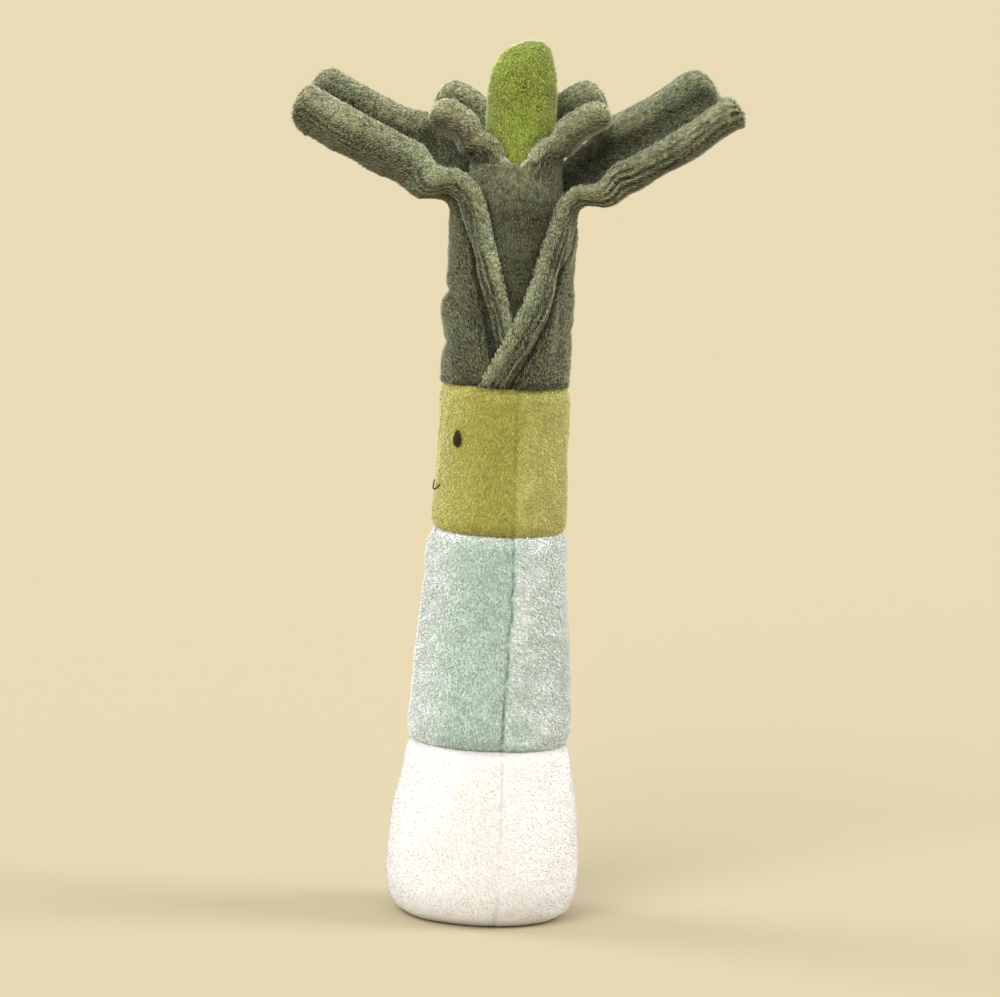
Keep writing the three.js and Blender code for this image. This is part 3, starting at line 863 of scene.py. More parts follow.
@dataclass
class Leaf:
    """A padded plush leaf: a sheath wrapped round the stem, then a bend and a trough-shaped blade.

    The fields down to shoulder are those of the CAD model. Angles run round the leaf's section from its
    keel. Where a field has two values, they are for the sheath and the blade, or for the back rim and
    the front one.

    Attributes:
        node: The CAD node that it stands for.
        side: 1 for the leaf on the right and -1 for the one on the left.
        foot_z, radius, sheath: Height of its foot, radius of its sheath and length of the sheath.
        flare, bend_radius: Degrees that the sheath leans out, and radius of the bend above it.
        blade, slope: Length of the blade, and its degrees from level where it begins and ends.
        wrap, opening: Degrees that the rims wrap at the foot and above, and how soon they open.
        twist, trough: Degrees that the blade turns to the front, and radius of its section.
        half_width, half, puff: Half the blade's width, half the thickness, and its growth on the blade.
        lip, lip_z: Height of the rolled lip, and the heights between which it begins.
        tip, blunt: Length over which each rim rounds off, and how squarely.
        notch, notch_reach, notch_angle: How far the tip is drawn in at the keel, and how widely.
        bend_shift, bend_reach, bend_waist: Where, how far along and how much the bend narrows the leaf.
        shoulder: How far the back rim is held up at the bend.
        heel, heel_angle: How far the bend bulges out at the keel, and how widely.
        layer: The radius that the sheath lies on, from the angle and the height.
        crease: How far from the rim the crease behind the lip runs, 0 for none.
        folds: Loose folds: corners as angle and height, depth, bulge beside it and shade.
        stations: Sections from the foot to where the tip begins.
        columns: Points across the leaf's outside.
        inner_cover_from: Length walked from which pile grows inside too.
        nap_turn: Length walked from which the nap runs to the tip.
        rim_highlight: How much paler the painted highlight makes the rim.
        lip_end: Share of the full width over which the lip ends at the tip.
        groove_shade: How the parted lines of the lip change the shade, across and in all.
        groove_at: How far from the rim those lines lie on the blade.
        groove_pitch: How far apart they lie.
        step: Length of one step along the keel.
        tip_rings: Sections in the tip.
        lip_gain: How much higher the lip stands than in the CAD model.
        lip_band: How far from the rim the lip is highest, and its half width.
        crease_depth, crease_width: Depth and half width of the crease behind the lip.
        shade_range: The darkest and the palest shade.
    """

    node: str
    side: int
    foot_z: float
    radius: float
    sheath: float
    flare: float
    bend_radius: float
    blade: float
    slope: tuple[float, float]
    wrap: tuple[float, float]
    opening: float
    twist: float
    trough: float
    half_width: float
    half: float
    puff: float
    lip: tuple[float, float]
    lip_z: tuple[float, float]
    tip: tuple[float, float]
    blunt: tuple[float, float]
    notch: float
    notch_reach: float
    notch_angle: float
    bend_shift: float
    bend_reach: float
    bend_waist: float
    shoulder: float
    heel: float
    heel_angle: float
    layer: Callable[[Array, float], Array]
    crease: Callable[[float], float]
    seed: int
    folds: tuple[tuple[tuple[tuple[float, float], ...], float, float, float], ...] = ()
    stations: int = 96
    columns: int = 91
    inner_cover_from: float = 0.0
    nap_turn: float = 0.0
    rim_highlight: float = 0.42
    lip_end: tuple[float, float] = (0.75, 1.0)
    groove_shade: tuple[float, float] = (0.58, 0.3)
    groove_at: float = 8.2
    groove_pitch: float = 2.1
    step: float = 0.25
    tip_rings: int = 21
    lip_gain: float = 1.25
    lip_band: tuple[float, float] = (5.0, 4.5)
    crease_depth: float = 2.3
    crease_width: float = 1.5
    shade_range: tuple[float, float] = (0.3, 1.7)

    def keel(self) -> tuple[Callable[[float], tuple[float, float, float]], float, float]:
        """Walks the line of the keel.

        Returns:
            A function from the length walked to the way out, the height and the slope, the whole
            length, and the length at which the bend ends.
        """
        bend = self.bend_radius * math.radians(90 - self.flare - self.slope[0])
        length = self.sheath + bend + self.blade

        def slope_at(a: float) -> float:
            """Returns the keel's slope after a millimetres."""
            bent = float(smooth(a, self.sheath, self.sheath + bend))
            turned = mix(math.radians(90 - self.flare), math.radians(self.slope[0]), bent)
            gone = min(max((a - self.sheath - bend) / self.blade, 0.0), 1.0)
            return turned + math.radians(self.slope[1] - self.slope[0]) * gone**1.3

        line = [(self.radius, self.foot_z)]
        while len(line) * self.step < length + 2 * self.step:
            slope = slope_at((len(line) - 0.5) * self.step)
            out, up = line[-1]
            line.append((out + math.cos(slope) * self.step, up + math.sin(slope) * self.step))
        places = np.array(line)
        walked = np.arange(len(places)) * self.step

        def at(a: float) -> tuple[float, float, float]:
            """Returns the way out, the height and the slope after a millimetres."""
            return *(float(np.interp(a, walked, places[:, i])) for i in (0, 1)), slope_at(a)

        return at, length, self.sheath + bend

    def cloth(self) -> Cloth:
        """Shapes the leaf's shell from its sections.

        Returns:
            The closed shell.
        """
        at, length, bend_end = self.keel()
        out, up, front = np.array([self.side, 0, 0.0]), np.array([0, 0, 1.0]), np.array([0, -1.0, 0])
        near_tip = 1 - (1 - np.linspace(0, 1, self.tip_rings + 1)[1:]) ** 2
        tip_from = length - max(self.tip)
        near_tip = length - max(self.tip) * (1 - near_tip * 0.995)
        places = np.concatenate([np.linspace(0, tip_from, self.stations), near_tip])
        share = np.linspace(-1, 1, self.columns)
        cap_turns = np.linspace(0, math.pi, CAP_POINTS + 2)[1:-1]
        loops, naps, shades, lengths, covers = [], [], [], [], []
        for a in places:
            k_out, k_up, slope = at(a)
            blade = float(smooth(a, self.sheath - 2, bend_end + self.blade * 0.25))
            along = min(a / self.sheath, 1.0)
            sheath_wrap = math.radians(mix(self.wrap[0], self.wrap[1], along**self.opening))
            radius = mix(k_out * (1 - blade) + self.radius * blade, self.trough, blade)
            bending = float(bell(a - (self.sheath + bend_end) / 2 - self.bend_shift, self.bend_reach))
            to_end = length - a
            short = [max(0.0, 1 - to_end / tip) for tip in self.tip]
            rounded = [(1 - gone**blunt) ** (1 / blunt) for gone, blunt in zip(short, self.blunt)]
            near = self.half * 1.5
            nose = math.sqrt(max(0.0, 1 - (1 - to_end / near) ** 2)) if to_end < near else 1.0
            whole = self.half * mix(1, self.puff, blade) * nose
            half = max(whole - PILE_HEIGHT, 0.3 * nose + 0.02)
            width = mix(sheath_wrap * radius, self.half_width, blade) * (1 - self.bend_waist * bending)
            twist = math.radians(self.twist) * float(smooth(a, self.sheath, bend_end + self.blade * 0.3))
            opened = -out * math.sin(slope) + up * math.cos(slope)
            inward = opened * math.cos(twist) + front * math.sin(twist)
            across = front * math.cos(twist) - opened * math.sin(twist)
            tipward = out * math.cos(slope) + up * math.sin(slope)
            centre = out * k_out + up * k_up + opened * radius
            rims = [max((max(width * share, whole * 1.05) - whole) / radius, 0.01) for share in rounded]
            tip_share = float(smooth(a, length - self.notch_reach, length))

            def normal(angle: Array) -> Array:
                """Returns the way outwards from the section at each angle."""
                return -np.cos(angle)[:, None] * inward + np.sin(angle)[:, None] * across

            def middle(angle: Array) -> Array:
                """Returns the middle of the leaf's thickness at each angle."""
                level = mix(self.layer(np.abs(angle), k_up), radius, blade)
                drawn = self.notch * tip_share * bell(angle, self.notch_angle)
                held = self.shoulder * bending * smooth(-angle * radius, 4, 22)
                place = centre + normal(angle) * np.asarray(level)[:, None]
                return place - tipward * np.asarray(drawn)[:, None] + up * np.asarray(held)[:, None]

            rim = np.where(share > 0, rims[1], rims[0])
            angles = rim * np.sign(share) * np.abs(share) ** 0.85
            from_rim = (rim - np.abs(angles)) * radius
            raised = mix(self.lip[0] * float(smooth(k_up, *self.lip_z)), self.lip[1], blade)
            raised = self.lip_gain * raised * nose * float(smooth(rounded[1], *self.lip_end))
            lip = raised * bell(from_rim - self.lip_band[0], self.lip_band[1])
            crease = self.crease(a) if a < bend_end + 6 else 0.0
            creased = 1 if crease else 0
            groove = bell(from_rim - crease, self.crease_width) * self.crease_depth * creased
            groove = groove * float(smooth(crease, 3, 8)) * float(1 - smooth(a, bend_end - 4, bend_end + 6))
            spot = centre + normal(angles) * radius
            drift = wander(spot, 17, self.seed)
            wave, grooved = self._grooves(from_rim, spot, blade)
            grooved = grooved * np.where(share > 0, 1.0, 0.4)
            lines = wave * grooved * (0.3 + 0.08 * drift)
            fold = fold_shade = np.zeros_like(angles)
            for path, depth, bulge, shade in self.folds:
                route = [(-math.radians(g) * self.radius * self.side, h) for g, h in path]
                off = off_path(-angles * self.radius * self.side, k_up, route)
                fold = fold - depth * bell(off, 1.5) + bulge * bell(off + 7 * np.sign(bulge), 5.5)
                fold_shade = fold_shade + shade * bell(off, 1.4)
            heel = self.heel * bell(a - bend_end, 5) * bell(angles, self.heel_angle)
            outside_raise = half + heel + lip - groove + lines + fold * (1 - blade) + drift * 0.25
            outside_raise = np.maximum(outside_raise, mix(-1.0, 0.25, blade) * nose)
            inside_drop = half + lip * blade * 0.6 + np.abs(lines) * blade
            inside_drop = np.maximum(inside_drop, 0.5 * nose - outside_raise)
            outside = middle(angles) + normal(angles) * outside_raise[:, None]
            inside = (middle(angles) - normal(angles) * inside_drop[:, None])[::-1]
            caps = []
            for sign, edge in ((1, -1), (-1, 0)):
                end = np.array([sign * rims[edge]])
                past = np.sin(cap_turns)[:, None] * normal(end + sign * math.pi / 2) * half * 1.1
                edge_raise = np.where(cap_turns < math.pi / 2, outside_raise[edge], inside_drop[edge])
                rise = np.cos(cap_turns) * edge_raise
                caps.append((middle(end) + rise[:, None] * normal(end) + past)[::sign])
            loop = np.vstack([outside, caps[0], inside, caps[1]])
            flat = np.zeros(CAP_POINTS)
            inner_side = np.concatenate([0 * share, flat, 0 * share + 1, flat])
            reach = np.concatenate([from_rim, flat, from_rim[::-1], flat])
            shown_inside = float(smooth(a, self.inner_cover_from, self.inner_cover_from + 6))
            cover = np.where(inner_side > 0, np.maximum(shown_inside, bell(reach, 3) * 0.6), 1.0)
            # Painted shade in the crease behind the lip and along the folds, less a painted highlight on the
            # ledge beside the crease.
            ledge_highlight = 0.22 * bell(from_rim - crease + 2.6, 1.3) * creased
            hollow_shade = np.concatenate([groove * 0.34 - ledge_highlight + fold_shade, np.zeros(len(loop) - self.columns)])
            wave_over, grooved_over = self._grooves(-cap_turns * half, caps[0], blade)
            wave, grooved = np.append(wave, wave_over), np.append(grooved, grooved_over)
            # Painted shade in the parted lines of the lip's pile, and darker over the whole band that they
            # cross.
            parted_shade = grooved * (self.groove_shade[0] * wave - self.groove_shade[1])
            parted_shade = np.concatenate([parted_shade, np.zeros(len(loop) - len(parted_shade))])
            loops.append(loop)
            naps.append(np.tile(tipward * (0.95 if a > self.nap_turn else -0.95), (len(loop), 1)))
            # Painted highlight on the rolled rim.
            pale = self.rim_highlight * bell(reach, 3.2)
            shades.append(np.clip(1 - hollow_shade + parted_shade + pale, *self.shade_range))
            lengths.append(np.full(len(loop), 0.55 + 0.45 * nose))
            covers.append(cover * (0.4 + 0.6 * nose))
        rows, around = len(loops), len(loops[0])
        ends = self._end_strip(0, around)[:, ::-1], self._end_strip((rows - 1) * around, around)
        faces = np.vstack([grid_faces(rows, around), *ends])
        looks = (np.concatenate(values) for values in (shades, lengths, covers))
        return Cloth(np.vstack(loops), faces[:, :: -self.side], np.vstack(naps), *looks)

    def _grooves(self, reach: Array, spots: Array, blade: float) -> tuple[Array, Array]:
        """Places the parted lines in the pile that run along the front lip.

        Args:
            reach: How far each point lies from the rim, less than 0 past it.
            spots: The points.
            blade: 0 on the sheath, 1 on the blade.

        Returns:
            The waves across the lines, and how strongly they show.
        """
        centre = mix(7, self.groove_at, blade)
        wave = np.sin(reach * TURN / self.groove_pitch + 1.1 * wander(spots, 26, self.seed + 5))
        shown = bell(reach - centre, mix(5, 4, blade)) * smooth(reach, centre - 6, centre - 3)
        broken = np.clip(0.8 + 0.5 * wander(spots, 19, self.seed + 9), 0.15, 1.3)
        return wave, shown * broken

    def _end_strip(self, start: int, around: int) -> Array:
        """Closes one end loop straight across, from its outside to its inside.

        Args:
            start: Number of the loop's first point.
            around: Points in the loop.

        Returns:
            The corners of each face.
        """
        half = around // 2
        shift = self.columns + CAP_POINTS // 2
        order = [(start + (shift + i) % around, start + (shift - i) % around) for i in range(half + 1)]
        return np.array([[a, c, d, b] for (a, b), (c, d) in zip(order, order[1:])])


@dataclass
class Shoot:
    """The stuffed green finger in the middle, higher on its right.

    Attributes:
        node: The CAD node that it stands for.
        seed: Fixes its lumps.
        around: Points in each loop.
        sections: Height, left and right edge and half depth of its sections, as in the CAD model.
    """

    node: str = "shoot"
    seed: int = 31
    around: int = 84
    sections: tuple[tuple[float, float, float, float], ...] = (
        (0, -11.6, 11.6, 11.6), (8, -11.8, 11.9, 11.8), (22, -11.6, 13.4, 12), (34, -11.3, 13.3, 11.6),
        (42, -10.4, 12.4, 10.6), (48.5, -7.4, 11.1, 8.4), (51.8, -3.2, 9.8, 5.4), (53.2, 1.2, 7.6, 2.6),
    )

    def cloth(self) -> Cloth:
        """Shapes the finger.

        Returns:
            Its closed shell, set in by the pile's height.
        """
        low, high = (corner.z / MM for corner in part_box(self.node))
        keys = np.array(self.sections, float)
        walked = np.linspace(0, 1, 56)
        gone = np.concatenate([[0], np.cumsum(np.hypot(np.diff(keys[:, 0]), np.diff(keys[:, 3])))])
        up, left, right, deep = (np.interp(walked, gone / gone[-1], keys[:, i]) for i in range(4))
        for values in (up, left, right, deep):
            values[1:-1] = np.convolve(np.pad(values, 2, "edge"), np.ones(5) / 5, "valid")[1:-1]
        turn = np.linspace(0, TURN, self.around, endpoint=False)
        z, t = np.meshgrid(low + up / keys[-1, 0] * (high - low - PILE_HEIGHT), turn, indexing="ij")
        wide = np.maximum((right - left) / 2 - PILE_HEIGHT, 0.8)[:, None]
        thick = np.maximum(deep - PILE_HEIGHT, 0.8)[:, None]
        x = ((left + right) / 2)[:, None] + wide * np.cos(t)
        points = np.stack([x, thick * np.sin(t), z], -1).reshape(-1, 3)
        points[:, :2] *= (1 + 0.02 * wander(points, 15, self.seed))[:, None]
        ends = [points[: self.around].mean(0), points[-self.around :].mean(0) + (0, 0, 0.3)]
        points = np.vstack([points, ends])
        plain = np.ones(len(points))
        nap = np.tile([0.05, -0.25, -0.85], (len(points), 1))
        faces = tube_faces(len(walked), self.around)
        return Cloth(points, faces, nap, plain, plain, np.where(points[:, 2] > low + 3, 1.0, 0.0))


@dataclass
class BasePanel:
    """The sewn disc that closes the bulb and that the toy stands on.

    Attributes:
        node: The CAD node that it stands for.
        lift: Height of its underside, so that its brushed pile ends on the floor.
        seed: Fixes its lumps.
        around: Points in each loop.
    """

    node: str = "base_panel"
    lift: float = 0.5
    seed: int = 77
    around: int = 120

    def cloth(self) -> Cloth:
        """Shapes the disc.

        Returns:
            The closed disc.
        """
        low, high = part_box(self.node)
        radius = (high.x - low.x) / 2 / MM - 0.2
        top = high.z / MM
        profile = [(r, self.lift) for r in np.linspace(1.2, radius - 0.8, 20)]
        profile += [(radius - 0.2, self.lift + 0.3), (radius, self.lift + 0.9), (radius, top - 0.4)]
        profile += [(radius - 0.5, top), (2.0, top)]
        t = np.linspace(0, TURN, self.around, endpoint=False)
        loops = [np.stack([np.cos(t) * r, -np.sin(t) * r, np.full_like(t, z)], -1) for r, z in profile]
        points = np.vstack(loops)
        under = points[:, 2] < top / 2
        points[:, 2] += np.where(under, 0.12 * (1 + wander(points, 12, self.seed)), 0)
        points = np.vstack([points, [[0, 0, self.lift], [0, 0, top]]])
        plain = np.ones(len(points))
        nap = np.tile([0.9, 0.3, 0.0], (len(points), 1))
        cover = np.where(points[:, 2] < top / 2, 1.0, 0.0)
        return Cloth(points, tube_faces(len(profile), self.around), nap, plain, plain * 0.5, cover)


@dataclass
class LeafStem:
    """The dark sleeve that the leaves wrap, drawn in at its foot and its crown.

    Attributes:
        node: The CAD node that it stands for.
        foot: Radius at its foot.
        full: Radius in its middle.
        crown: Radius at its crown.
        collar: How far it runs up inside the small leaves, past the CAD solid.
        v_foot: Height at which the large leaves part.
        v_height: Height over which they open.
        seed: Fixes its lumps.
    """

    node: str = "leaf_stem"
    foot: float = 16.2
    full: float = 18.5
    crown: float = 15.9
    collar: float = 6.0
    v_foot: float = 214.0
    v_height: float = 36.0
    seed: int = 55

    def cloth(self) -> Cloth:
        """Shapes the stem.

        Returns:
            Its closed shell. Pile grows only where the leaves leave it open.
        """
        low, high = (corner.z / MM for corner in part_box(self.node))
        top = high + self.collar
        turn = np.linspace(0, TURN, 110, endpoint=False)
        z, t = np.meshgrid(np.linspace(low, top, 76), turn, indexing="ij")
        drawn_in = (self.full - self.crown) * smooth(z, high - 12, top)
        radius = mix(self.foot, self.full, smooth(z, low, low + 17)) - drawn_in
        soft = wander(round_axis(t, radius, z), 13, self.seed).reshape(z.shape)
        points = round_axis(t, radius - PILE_HEIGHT + 0.2 * soft, z)
        turned = np.degrees(np.arctan2(np.sin(t), np.abs(np.cos(t))))
        opened = (z - self.v_foot) / self.v_height
        spare = 8 + 50 * smooth(z, 246, 256)
        window = (turned > -25 * opened - spare) & (turned < 40 * opened + spare)
        cover = np.where(window & (opened > -0.05), 1.0, 0.0)
        nap = np.stack([-0.2 * np.cos(t), -0.2 * np.sin(t), np.full_like(t, -0.9)], -1).reshape(-1, 3)
        # Painted highlight: paler towards the crown.
        shade = 1 + 0.25 * smooth(z, high - 14, top)
        return closed_tube(points, nap, shade, np.ones_like(z), cover, (low, top))


class Stitcher:
    """Lays embroidery thread: satin strands across an oval, and stitches along a line."""

    STRANDS = 17  # across an eye
    STITCH = 1.5  # length of a stitch
    THREAD = 0.28  # half the thickness of a stitch

    def __init__(self) -> None:
        """Builds the two trees."""
        self.satin = self._satin()
        self.running = self._running()

    @staticmethod
    def _strand(make: GeometryNodes, radius: float) -> Socket:
        """Adds a closed thread of length 2 along X, bowed outwards along -Y.

        Args:
            make: The tree.
            radius: Half its thickness.

        Returns:
            Its mesh.
        """
        bow = dict(Start=(-1.0, 0.0, 0.0), Middle=(0.0, -0.45, 0.0), End=(1.0, 0.0, 0.0))
        arc = make.node("GeometryNodeCurveArc", {"mode": "POINTS"}, Resolution=13, **bow)
        ring = make.node("GeometryNodeCurvePrimitiveCircle", {"mode": "RADIUS"}, Resolution=8, Radius=radius)
        curves = dict(Curve=arc.outputs["Curve"], Profile_Curve=ring.outputs["Curve"])
        return make.node("GeometryNodeCurveToMesh", None, Fill_Caps=True, **curves).outputs[0]

    def _satin(self) -> bpy.types.NodeTree:
        """Builds the tree that fills an upright oval with strands laid side by side."""
        numbers = dict.fromkeys(("Half Width", "Half Height", "Depth"), "Float")
        make = GeometryNodes("Satin oval", {"Strands": "Int", **numbers})
        math_node, given = make.math, make.given
        tall = given["Half Height"]
        line = make.node("GeometryNodeMeshLine", {"mode": "END_POINTS"}, Count=given["Strands"])
        low, high = (make.xyz(Z=math_node("MULTIPLY", tall, share)) for share in (-0.97, 0.97))
        make.fill(line.inputs["Start Location"], low)
        make.fill(next(s for s in line.inputs if s.name in ("End Location", "Offset") and s.enabled), high)
        rise = math_node("DIVIDE", make.height(), tall)
        reach = math_node("SQRT", math_node("SUBTRACT", 1.0, math_node("MULTIPLY", rise, rise)))
        reach = math_node("MULTIPLY", reach, math_node("SUBTRACT", 0.88, math_node("MULTIPLY", rise, 0.3)))
        depth = math_node("ADD", math_node("MULTIPLY", reach, 0.8), 0.2)
        size = make.xyz(
            X=math_node("MULTIPLY", given["Half Width"], reach),
            Y=math_node("MULTIPLY", given["Depth"], depth),
            Z=math_node("DIVIDE", math_node("MULTIPLY", tall, 2.0), given["Strands"]),
        )
        return make.close(Points=line.outputs[0], Instance=self._strand(make, 0.62), Scale=size)

    @staticmethod
    def _running() -> bpy.types.NodeTree:
        """Builds the tree that lays short stitches end to end along the source's line."""
        make = GeometryNodes("Line of stitches", {"Pitch": "Float", "Thread": "Float"})
        pitch, thread = make.given["Pitch"], make.given["Thread"]
        curve = make.node("GeometryNodeMeshToCurve", None, Mesh=make.given["Geometry"]).outputs[0]
        points = make.node("GeometryNodeCurveToPoints", {"mode": "LENGTH"}, Curve=curve, Length=pitch)
        bead = make.node("GeometryNodeMeshUVSphere", None, Segments=10, Rings=8, Radius=1.0)
        return make.close(
            Points=points.outputs[0],
            Instance=bead.outputs["Mesh"],
            Rotation=make.turned("X", points.outputs["Tangent"]),
            Scale=make.xyz(X=make.math("MULTIPLY", pitch, 0.62), Y=thread, Z=thread),
        )

    @staticmethod
    def line(points: Sequence[Vector]) -> bpy.types.Mesh:
        """Returns a scratch mesh that holds a line through points, in metres."""
        mesh = bpy.data.meshes.new("stitch_line")
        mesh.from_pydata([tuple(p) for p in points], [(i, i + 1) for i in range(len(points) - 1)], [])
        return mesh


@dataclass
class Face:
    """Two satin-stitched oval eyes and a stitched smile on the upper band.

    Attributes:
        thread: The thread's finish.
        tube: The outline that it lies on.
        eyes: The CAD nodes of the eyes.
        smile: The CAD node of the smile.
        smile_lift: How far the smile's ends stand above its middle.
        smile_spread: Degrees from its middle to its ends.
        half_width: Half the width of an eye.
        half_height: Half the height of an eye.
        depth: How far an eye stands off the band.
        bare_rim: Width of the bare cloth round an eye.
        bare_stitch: Half the width of the bare cloth along the smile.
    """

    thread: Thread
    tube: Tube = Tube()
    eyes: tuple[str, str] = ("eye_left", "eye_right")
    smile: str = "smile"
    smile_lift: float = 2.0
    smile_spread: float = 16.0
    half_width: float = 1.5
    half_height: float = 2.9
    depth: float = 0.6
    bare_rim: float = 0.15
    bare_stitch: float = 0.75

    def bare_places(self) -> tuple[tuple[float, float, float, float], ...]:
        """Returns where the band's pile leaves room for the embroidery."""
        oval = (self.half_width + self.bare_rim, self.half_height + self.bare_rim)
        places = [(*node_middle(eye), *oval) for eye in self.eyes]
        for point in self._smile_points(11, 0.0):
            places.append((math.atan2(point.x, -point.y), point.z / MM, self.bare_stitch, self.bare_stitch))
        return tuple(places)

    def _place(self, turn: float, height: float, raised: float) -> Vector:
        """Returns a place on the band, in metres, raised off it by so many millimetres."""
        radius = float(self.tube.radius(height)) + raised
        return Vector((math.sin(turn) * radius, -math.cos(turn) * radius, height)) * MM

    def _smile_points(self, count: int, raised: float) -> list[Vector]:
        """Lays points along the smile.

        Args:
            count: How many points.
            raised: How far they stand off the band, in millimetres.

        Returns:
            The points, in metres.
        """
        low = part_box(self.smile)[0].z / MM + 0.4
        middle = sum(node_middle(eye)[0] for eye in self.eyes) / 2
        spread = math.radians(self.smile_spread)
        shares = np.linspace(-1, 1, count)
        return [self._place(middle + spread * s, low + self.smile_lift * s**2, raised) for s in shares]

    def build(self, groups: FinishGroups) -> None:
        """Lays the thread of the eyes and the smile.

        Args:
            groups: The shared shader groups.
        """
        stitcher = Stitcher()
        shared = {"Material": self.thread.material(groups)}
        oval = {"Strands": stitcher.STRANDS, "Depth": self.depth * 2 * MM, **shared}
        oval |= {"Half Width": self.half_width * MM, "Half Height": self.half_height * MM}
        upright = [Vector((0, 0, 0)), Vector((0, 0, MM))]
        for eye in self.eyes:
            piece = run_tree(stitcher.satin, stitcher.line(upright), eye + "_satin", oval)
            turn, height = node_middle(eye)
            seat = Matrix.Translation(self._place(turn, height, -0.55))
            piece.data.transform(seat @ Matrix.Rotation(turn, 4, "Z"))
            dress(piece, self.thread.slot, eye)
        line = stitcher.line(self._smile_points(40, -0.15))
        stitches = {"Pitch": stitcher.STITCH * MM, "Thread": stitcher.THREAD * MM, **shared}
        piece = run_tree(stitcher.running, line, "smile_stitches", stitches)
        dress(piece, self.thread.slot, self.smile)


@dataclass
class LeafSet:
    """The sizes of the four leaves, from the CAD model's own driving dimensions.

    Attributes:
        wrap_radius: Radius of the large leaves' sheaths.
        under_radius: Radius of the rims that lie under.
        over_radius: Radius of the rims that lie over.
        swell: How much the stem swells above its foot.
        v_foot: Height at which the large leaves part.
        collar_radius: Radius of the small leaves' sheaths.
    """

    wrap_radius: float = 21.1
    under_radius: float = 18.2
    over_radius: float = 21.85
    swell: float = 2.5
    v_foot: float = 214
    collar_radius: float = 14.1

    def leaves(self) -> list[Leaf]:
        """Returns the four leaves, the left large one first."""
        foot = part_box("outer_leaf_left")[0].z / MM
        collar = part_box("inner_leaf_left")[0].z / MM

        def rim_level(base: float, z: float) -> float:
            """Returns the radius under a rim at a height, where the stem swells above its foot."""
            return base + self.swell * float(smooth(z, foot - SEAM_GAP, foot - SEAM_GAP + 17))

        def under(angle: Array, z: float) -> Array:
            """Returns the radius of the leaf whose rims lie under."""
            share = smooth(angle, math.radians(35), math.radians(60))
            return mix(self.wrap_radius, rim_level(self.under_radius, z), share)

        def over(angle: Array, z: float) -> Array:
            """Returns the radius of the leaf whose rims lie over."""
            drop = (self.under_radius - self.over_radius) * float(smooth(z, self.v_foot, self.v_foot + 24))
            share = smooth(angle, math.radians(38), math.radians(60))
            return mix(self.wrap_radius, rim_level(self.over_radius, z) + drop, share)

        large = dict(
            foot_z=foot, radius=self.wrap_radius, sheath=60, flare=1.8, bend_radius=4, trough=13.6, half=1.5,
            puff=1.75, lip=(1.3, 2.1), blunt=(2.2, 3), notch=9, notch_reach=16, notch_angle=1.08,
            bend_reach=13, bend_waist=0, heel=0, heel_angle=1, inner_cover_from=40,
        )
        small = dict(
            foot_z=collar, radius=self.collar_radius, sheath=8, flare=0, bend_radius=4, trough=13.5, half=1.5,
            puff=1.6, half_width=20.5, lip=(0, 1), lip_z=(0, 1), tip=(7, 7), blunt=(2.2, 2.2), notch=3.5,
            notch_reach=11.2, notch_angle=0.7, wrap=(89.3, 89.3), opening=1, bend_shift=1.5, bend_reach=3.5,
            bend_waist=0.26, shoulder=0, heel=2, heel_angle=0.9, inner_cover_from=0, nap_turn=8.5,
            rim_highlight=0.5, stations=48, columns=51, crease=lambda a: 0.0,
            layer=lambda angle, z: np.full_like(angle, self.collar_radius),
        )
        left = Leaf(
            "outer_leaf_left", -1, blade=64.4, half_width=26.5, slope=(23, 29), wrap=(114, 65), opening=1,
            twist=15, tip=(11, 6.5), bend_shift=5, shoulder=8, lip_z=(self.v_foot, self.v_foot + 16),
            layer=under, crease=lambda a: 8.5 + 4 * float(smooth(a, 45, 60)), seed=41,
            folds=(
                (((-50, 226), (-10, 220), (14, 220.5), (46, 214), (63, 209.7), (84, 203)), 1.7, 1.5, 0.4),
                (((-40, 203), (0, 202.7), (25, 201), (48, 198)), 1.1, 0.6, 0.25),
            ),
            **large,
        )
        right = Leaf(
            "outer_leaf_right", 1, blade=67.6, half_width=24.3, slope=(27, 42), wrap=(116.5, 50), twist=30,
            opening=0.85, tip=(14, 6.5), bend_shift=1, shoulder=10, lip_z=(foot - SEAM_GAP, self.v_foot + 10),
            layer=over, crease=lambda a: 9.8 + 7 * float(smooth(a, 40, 50)), seed=47, groove_at=2.5,
            folds=((((-20, 206), (6, 209), (28, 207)), 0.7, 0.3, 0.2),),
            **large,
        )
        small_left = Leaf("inner_leaf_left", -1, blade=20, slope=(38, 18), twist=12, seed=53, **small)
        small_right = Leaf("inner_leaf_right", 1, blade=22.5, slope=(41, 22), twist=14, seed=59, **small)
        return [left, right, small_left, small_right]


